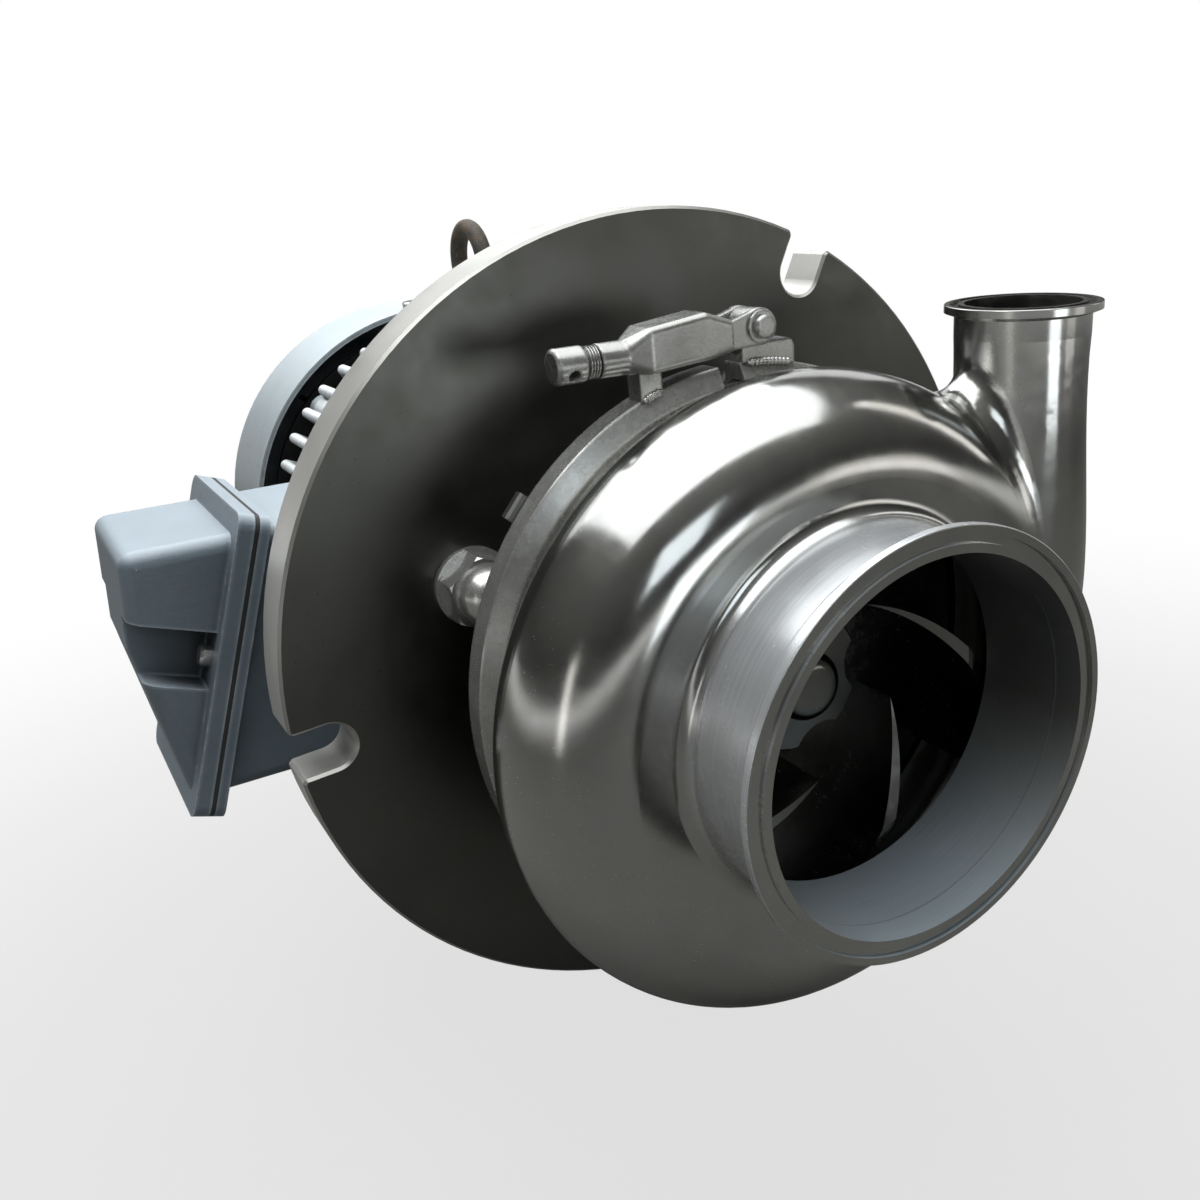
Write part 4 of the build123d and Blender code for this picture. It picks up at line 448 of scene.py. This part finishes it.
MATERIALS = {
    "stainless_polished": steel("stainless_polished", (0.44, 0.44, 0.43), 0.16, dark=0.62,
                                cloud=11.0, hair=0.8, wave=0.07, lines=0.03, bore=True),
    "stainless_satin": steel("stainless_satin", (0.27, 0.27, 0.26), 0.32, dark=0.7, lines=0.12,
                             bore=True),
    "disc_steel": steel("disc_steel", (0.105, 0.105, 0.098), 0.34, dark=0.5, cloud=6.0, hair=0.5,
                        lines=0.02, line_scale=900.0, cut_faces=(0.56, 0.55, 0.52)),
    "clamp_steel": steel("clamp_steel", (0.38, 0.38, 0.37), 0.25, dark=0.7, cloud=60.0, hair=0.4,
                         grain=0.08, edge=0.6, metallic=0.7, soft=0.0016, thread=True),
    "impeller_steel": steel("impeller_steel", (0.22, 0.22, 0.21), 0.22, dark=0.55, cloud=30.0),
    "machined_steel": steel("machined_steel", (0.36, 0.36, 0.36), 0.3, lines=0.2),
    "bolt_steel": steel("bolt_steel", (0.52, 0.515, 0.51), 0.22, cloud=80.0, grain=0.1, edge=0.5,
                        metallic=0.8),
    "eye_steel": rust("eye_steel"),
    # In these paints, the number given for upward faces pales them: painted light from above.
    "grey_paint": paint("grey_paint", (0.27, 0.31, 0.33), 0.42, grain=0.15, chips=0.8,
                        painted_top_light=0.9, painted_inside_shade=True),
    "grey_paint_box": paint("grey_paint_box", (0.135, 0.17, 0.20), 0.40, grain=0.35,
                            grain_scale=420.0, chips=0.9, dirt=0.45, painted_top_light=0.95),
    "frame_paint": paint("frame_paint", (0.50, 0.53, 0.55), 0.5, grain=0.8, grain_scale=330.0,
                         chips=1.0, dirt=0.6, metal=(0.62, 0.63, 0.64), painted_top_light=0.6),
    "rubber": plain("rubber", (0.02, 0.02, 0.02), 0.6),
    "ceramic": plain("ceramic", (0.7, 0.66, 0.6), 0.3),
    "carbon": plain("carbon", (0.03, 0.03, 0.032), 0.4),
    "winding": plain("winding", (0.45, 0.17, 0.06), 0.35, 0.6, scale=900.0),
    "fan_plastic": plain("fan_plastic", (0.025, 0.025, 0.025), 0.5),
}


def dress_nodes():
    slots = {entry["node"]: entry["material_slot"] for entry in frame["record"]["subparts"]}
    for name, node in NODES.items():
        node.data.materials.clear()
        node.data.materials.append(MATERIALS[slots[name]])


dress_nodes()


# Small details that ride on the CAD pieces

THREAD_PITCH = 0.00112
THREAD_CREST = 0.0011
STEPS_PER_TURN = 40
ROOT_DEPTH = 0.0002
WELD_R = 0.0015
WELD_LIFT = 0.0002


def link_piece(piece, material, body):
    scene.collection.objects.link(piece)
    piece.data.materials.append(MATERIALS[material])
    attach(piece, body)


def thread_ridge():
    """Raised thread on the bare stretch of the clamp screw, run out at both ends."""
    count = int((THREAD_START_X - THREAD_END_X) / THREAD_PITCH * STEPS_PER_TURN)
    foot, tip = 0.4 * THREAD_PITCH, 0.08 * THREAD_PITCH
    verts, faces = [], []
    for step in range(count + 1):
        angle = 2.0 * math.pi * step / STEPS_PER_TURN
        x = THREAD_START_X - THREAD_PITCH * step / STEPS_PER_TURN
        run_out = min(1.0, 5.0 * step / STEPS_PER_TURN, 5.0 * (count - step) / STEPS_PER_TURN)
        root, crest = SCREW_R - ROOT_DEPTH, SCREW_R + THREAD_CREST * run_out
        for shift, radius in ((foot, root), (tip, crest), (-tip, crest), (-foot, root)):
            verts.append((x + shift, JOINT_Y + radius * math.cos(angle),
                          SCREW_Z + radius * math.sin(angle)))
    for step in range(count):
        near, far = 4 * step, 4 * step + 4
        for side in range(4):
            after = (side + 1) % 4
            faces.append((near + side, near + after, far + after, far + side))
    faces += [(3, 2, 1, 0), tuple(4 * count + side for side in range(4))]
    data = bpy.data.meshes.new("screw_thread")
    data.from_pydata(verts, [], faces)
    link_piece(bpy.data.objects.new("screw_thread", data), "bolt_steel", "screw")


def weld_bead(name, points, body):
    """Weld bead along a line of points: rippled, a little uneven, thinner at its ends."""
    curve = bpy.data.curves.new(name, "CURVE")
    curve.dimensions = "3D"
    curve.bevel_depth = WELD_R
    curve.bevel_resolution = 4
    curve.use_fill_caps = True
    spline = curve.splines.new("POLY")
    spline.points.add(len(points) - 1)
    rng = random.Random(name)
    for index, (point, place) in enumerate(zip(spline.points, points)):
        from_end = min(index, len(points) - 1 - index)
        ripple = 0.13 * math.sin(2.0 * math.pi * index / 5.0)
        point.co = (*place, 1.0)
        point.radius = min(1.0, 0.45 + 0.12 * from_end) * (1.0 + ripple + rng.uniform(-0.07, 0.07))
    link_piece(bpy.data.objects.new(name, curve), "bolt_steel", body)


def foot_line(start_x, end_x, side, count):
    """Line along the foot of a lug, where it meets the band."""
    places = [start_x + (end_x - start_x) * index / (count - 1) for index in range(count)]
    return [(x, JOINT_Y + side * (LUG_HALF_T + WELD_LIFT),
             math.sqrt(CLAMP_R ** 2 - x ** 2) + WELD_LIFT) for x in places]


thread_ridge()
for label, direction in (("front", -1), ("rear", 1)):
    weld_bead("lug_weld_" + label, foot_line(*LUG_FOOT_X, direction, 60), "pump")
    weld_bead("trunnion_weld_" + label, foot_line(*TRUNNION_FOOT_X, direction, 28), "clamp_half")


# Floor, backdrop and lights

FLOOR_HALF = 12.0
FLOOR_PLACE = (0.0, 0.25, -0.26)
FLOOR_COLORS = ((0.125, 0.122, 0.115), (0.15, 0.147, 0.14))
CAMERA_WHITE = (0.25, 1.1, 0.72, 1.0)  # near and far reach, and how white the floor is there
MIRROR_REACH = (1.5, 7.0)
MIRROR_HORIZON = (0.0, 0.07, 1.0, 0.0)  # two heights, and how white the world is there
ROOM_LEVELS = ((0.0, 0.12), (0.5, 0.09), (0.62, 0.06), (0.8, 0.16), (1.0, 0.42))
DAYLIGHT = (0.95, 0.98, 1.0)
WARM = (1.0, 0.98, 0.95)
LAMPS = (
    # name, place, target, width, height, watts, color, spread in degrees
    ("overhead", (-0.1, 0.7, 1.6), (-0.1, 0.701, 0.0), 2.2, 3.0, 44.0, DAYLIGHT, 150.0),
    ("ceiling", (0.1, 2.6, 2.0), (0.0, 0.0, 0.0), 3.0, 1.3, 24.0, DAYLIGHT, 180.0),
    ("back", (1.3, 2.1, 1.2), (0.0, 0.1, 0.0), 2.2, 0.8, 6.0, (0.97, 0.99, 1.0), 180.0),
    ("key", (-0.6, 0.1, 1.4), (0.0, 0.1, 0.0), 0.5, 0.5, 4.0, (1.0, 0.99, 0.97), 180.0),
    ("front", (-0.3, -1.9, 1.0), (-0.1, 0.17, 0.05), 0.8, 0.6, 4.0, (0.86, 0.94, 1.0), 180.0),
    ("front_low", (0.40, -1.9, 0.02), (-0.1, 0.17, 0.08), 0.7, 0.5, 3.4, (0.90, 0.96, 1.0), 180.0),
    ("front_right", (1.5, -1.6, 0.1), (0.0, 0.1, 0.0), 0.7, 0.5, 1.1, (1.0, 0.97, 0.92), 180.0),
    ("left_strip", (-1.8, -0.75, 0.15), (-0.1, 0.1, 0.0), 0.22, 0.8, 1.0, WARM, 180.0),
    ("right", (1.4, -0.2, 0.8), (0.1, 0.1, 0.0), 0.2, 1.1, 1.4, WARM, 180.0),
)


def make_floor():
    """Grey floor that keeps the object's shadow and looks white to the camera and to mirrors."""
    data = bpy.data.meshes.new("floor")
    corners = [(x * FLOOR_HALF, y * FLOOR_HALF, 0) for x, y in ((-1, -1), (1, -1), (1, 1), (-1, 1))]
    data.from_pydata(corners, [], [(0, 1, 2, 3)])
    floor = bpy.data.objects.new("floor", data)
    floor.location = FLOOR_PLACE
    scene.collection.objects.link(floor)
    s = Shader("floor")
    reach = s.length(*s.split(s.place)[:2])
    s.finish(s.mix(s.noise(60.0, 3.0, 0.5), *FLOOR_COLORS), 0.8, 0.0)
    camera_ray, mirrored = s.seen_by()
    seen = s.times(camera_ray, s.span(reach, *CAMERA_WHITE, smooth=True))
    mirrored = s.times(mirrored, s.span(reach, *MIRROR_REACH, smooth=True))
    s.show_white("ShaderNodeEmission", s.math("MAXIMUM", seen, mirrored), s.surface.outputs[0],
                 s.output)
    data.materials.append(s.material)


def make_world():
    """Studio room: white to the camera, white near the horizon in reflections, dimmer above."""
    world = bpy.data.worlds.new("studio")
    scene.world = world
    world.use_nodes = True
    t = Tree(world.node_tree)
    height = t.split(t.add("ShaderNodeTexCoord").outputs["Generated"])["Z"]
    ramp = t.add("ShaderNodeValToRGB")
    stops = ramp.color_ramp.elements
    while len(stops) < len(ROOM_LEVELS):
        stops.new(0.5)
    for stop, (position, level) in zip(stops, ROOM_LEVELS):
        stop.position = position
        stop.color = (level, level, level * 0.97, 1.0)
    t.link(t.span(height, -1.0, 1.0), ramp.inputs[0])
    room = t.add("ShaderNodeBackground")
    t.link(ramp.outputs[0], room.inputs["Color"])
    camera_ray, mirrored = t.seen_by()
    mirrored = t.times(mirrored, t.span(height, *MIRROR_HORIZON, smooth=True), clamp=True)
    t.show_white("ShaderNodeBackground", t.math("ADD", camera_ray, mirrored, clamp=True),
                 room.outputs[0], t.add("ShaderNodeOutputWorld"))


def softbox(name, place, target, width, height, watts, color, spread):
    data = bpy.data.lights.new(name, "AREA")
    data.shape = "RECTANGLE"
    data.size, data.size_y = width, height
    data.energy = watts
    data.color = color
    data.spread = math.radians(spread)
    lamp = bpy.data.objects.new(name, data)
    lamp.visible_camera = False
    lamp.location = place
    aim = Vector(target) - Vector(place)
    lamp.rotation_euler = aim.to_track_quat("-Z", "Y").to_euler()
    scene.collection.objects.link(lamp)


make_floor()
make_world()
for lamp_values in LAMPS:
    softbox(*lamp_values)

scene.view_settings.view_transform = "Standard"
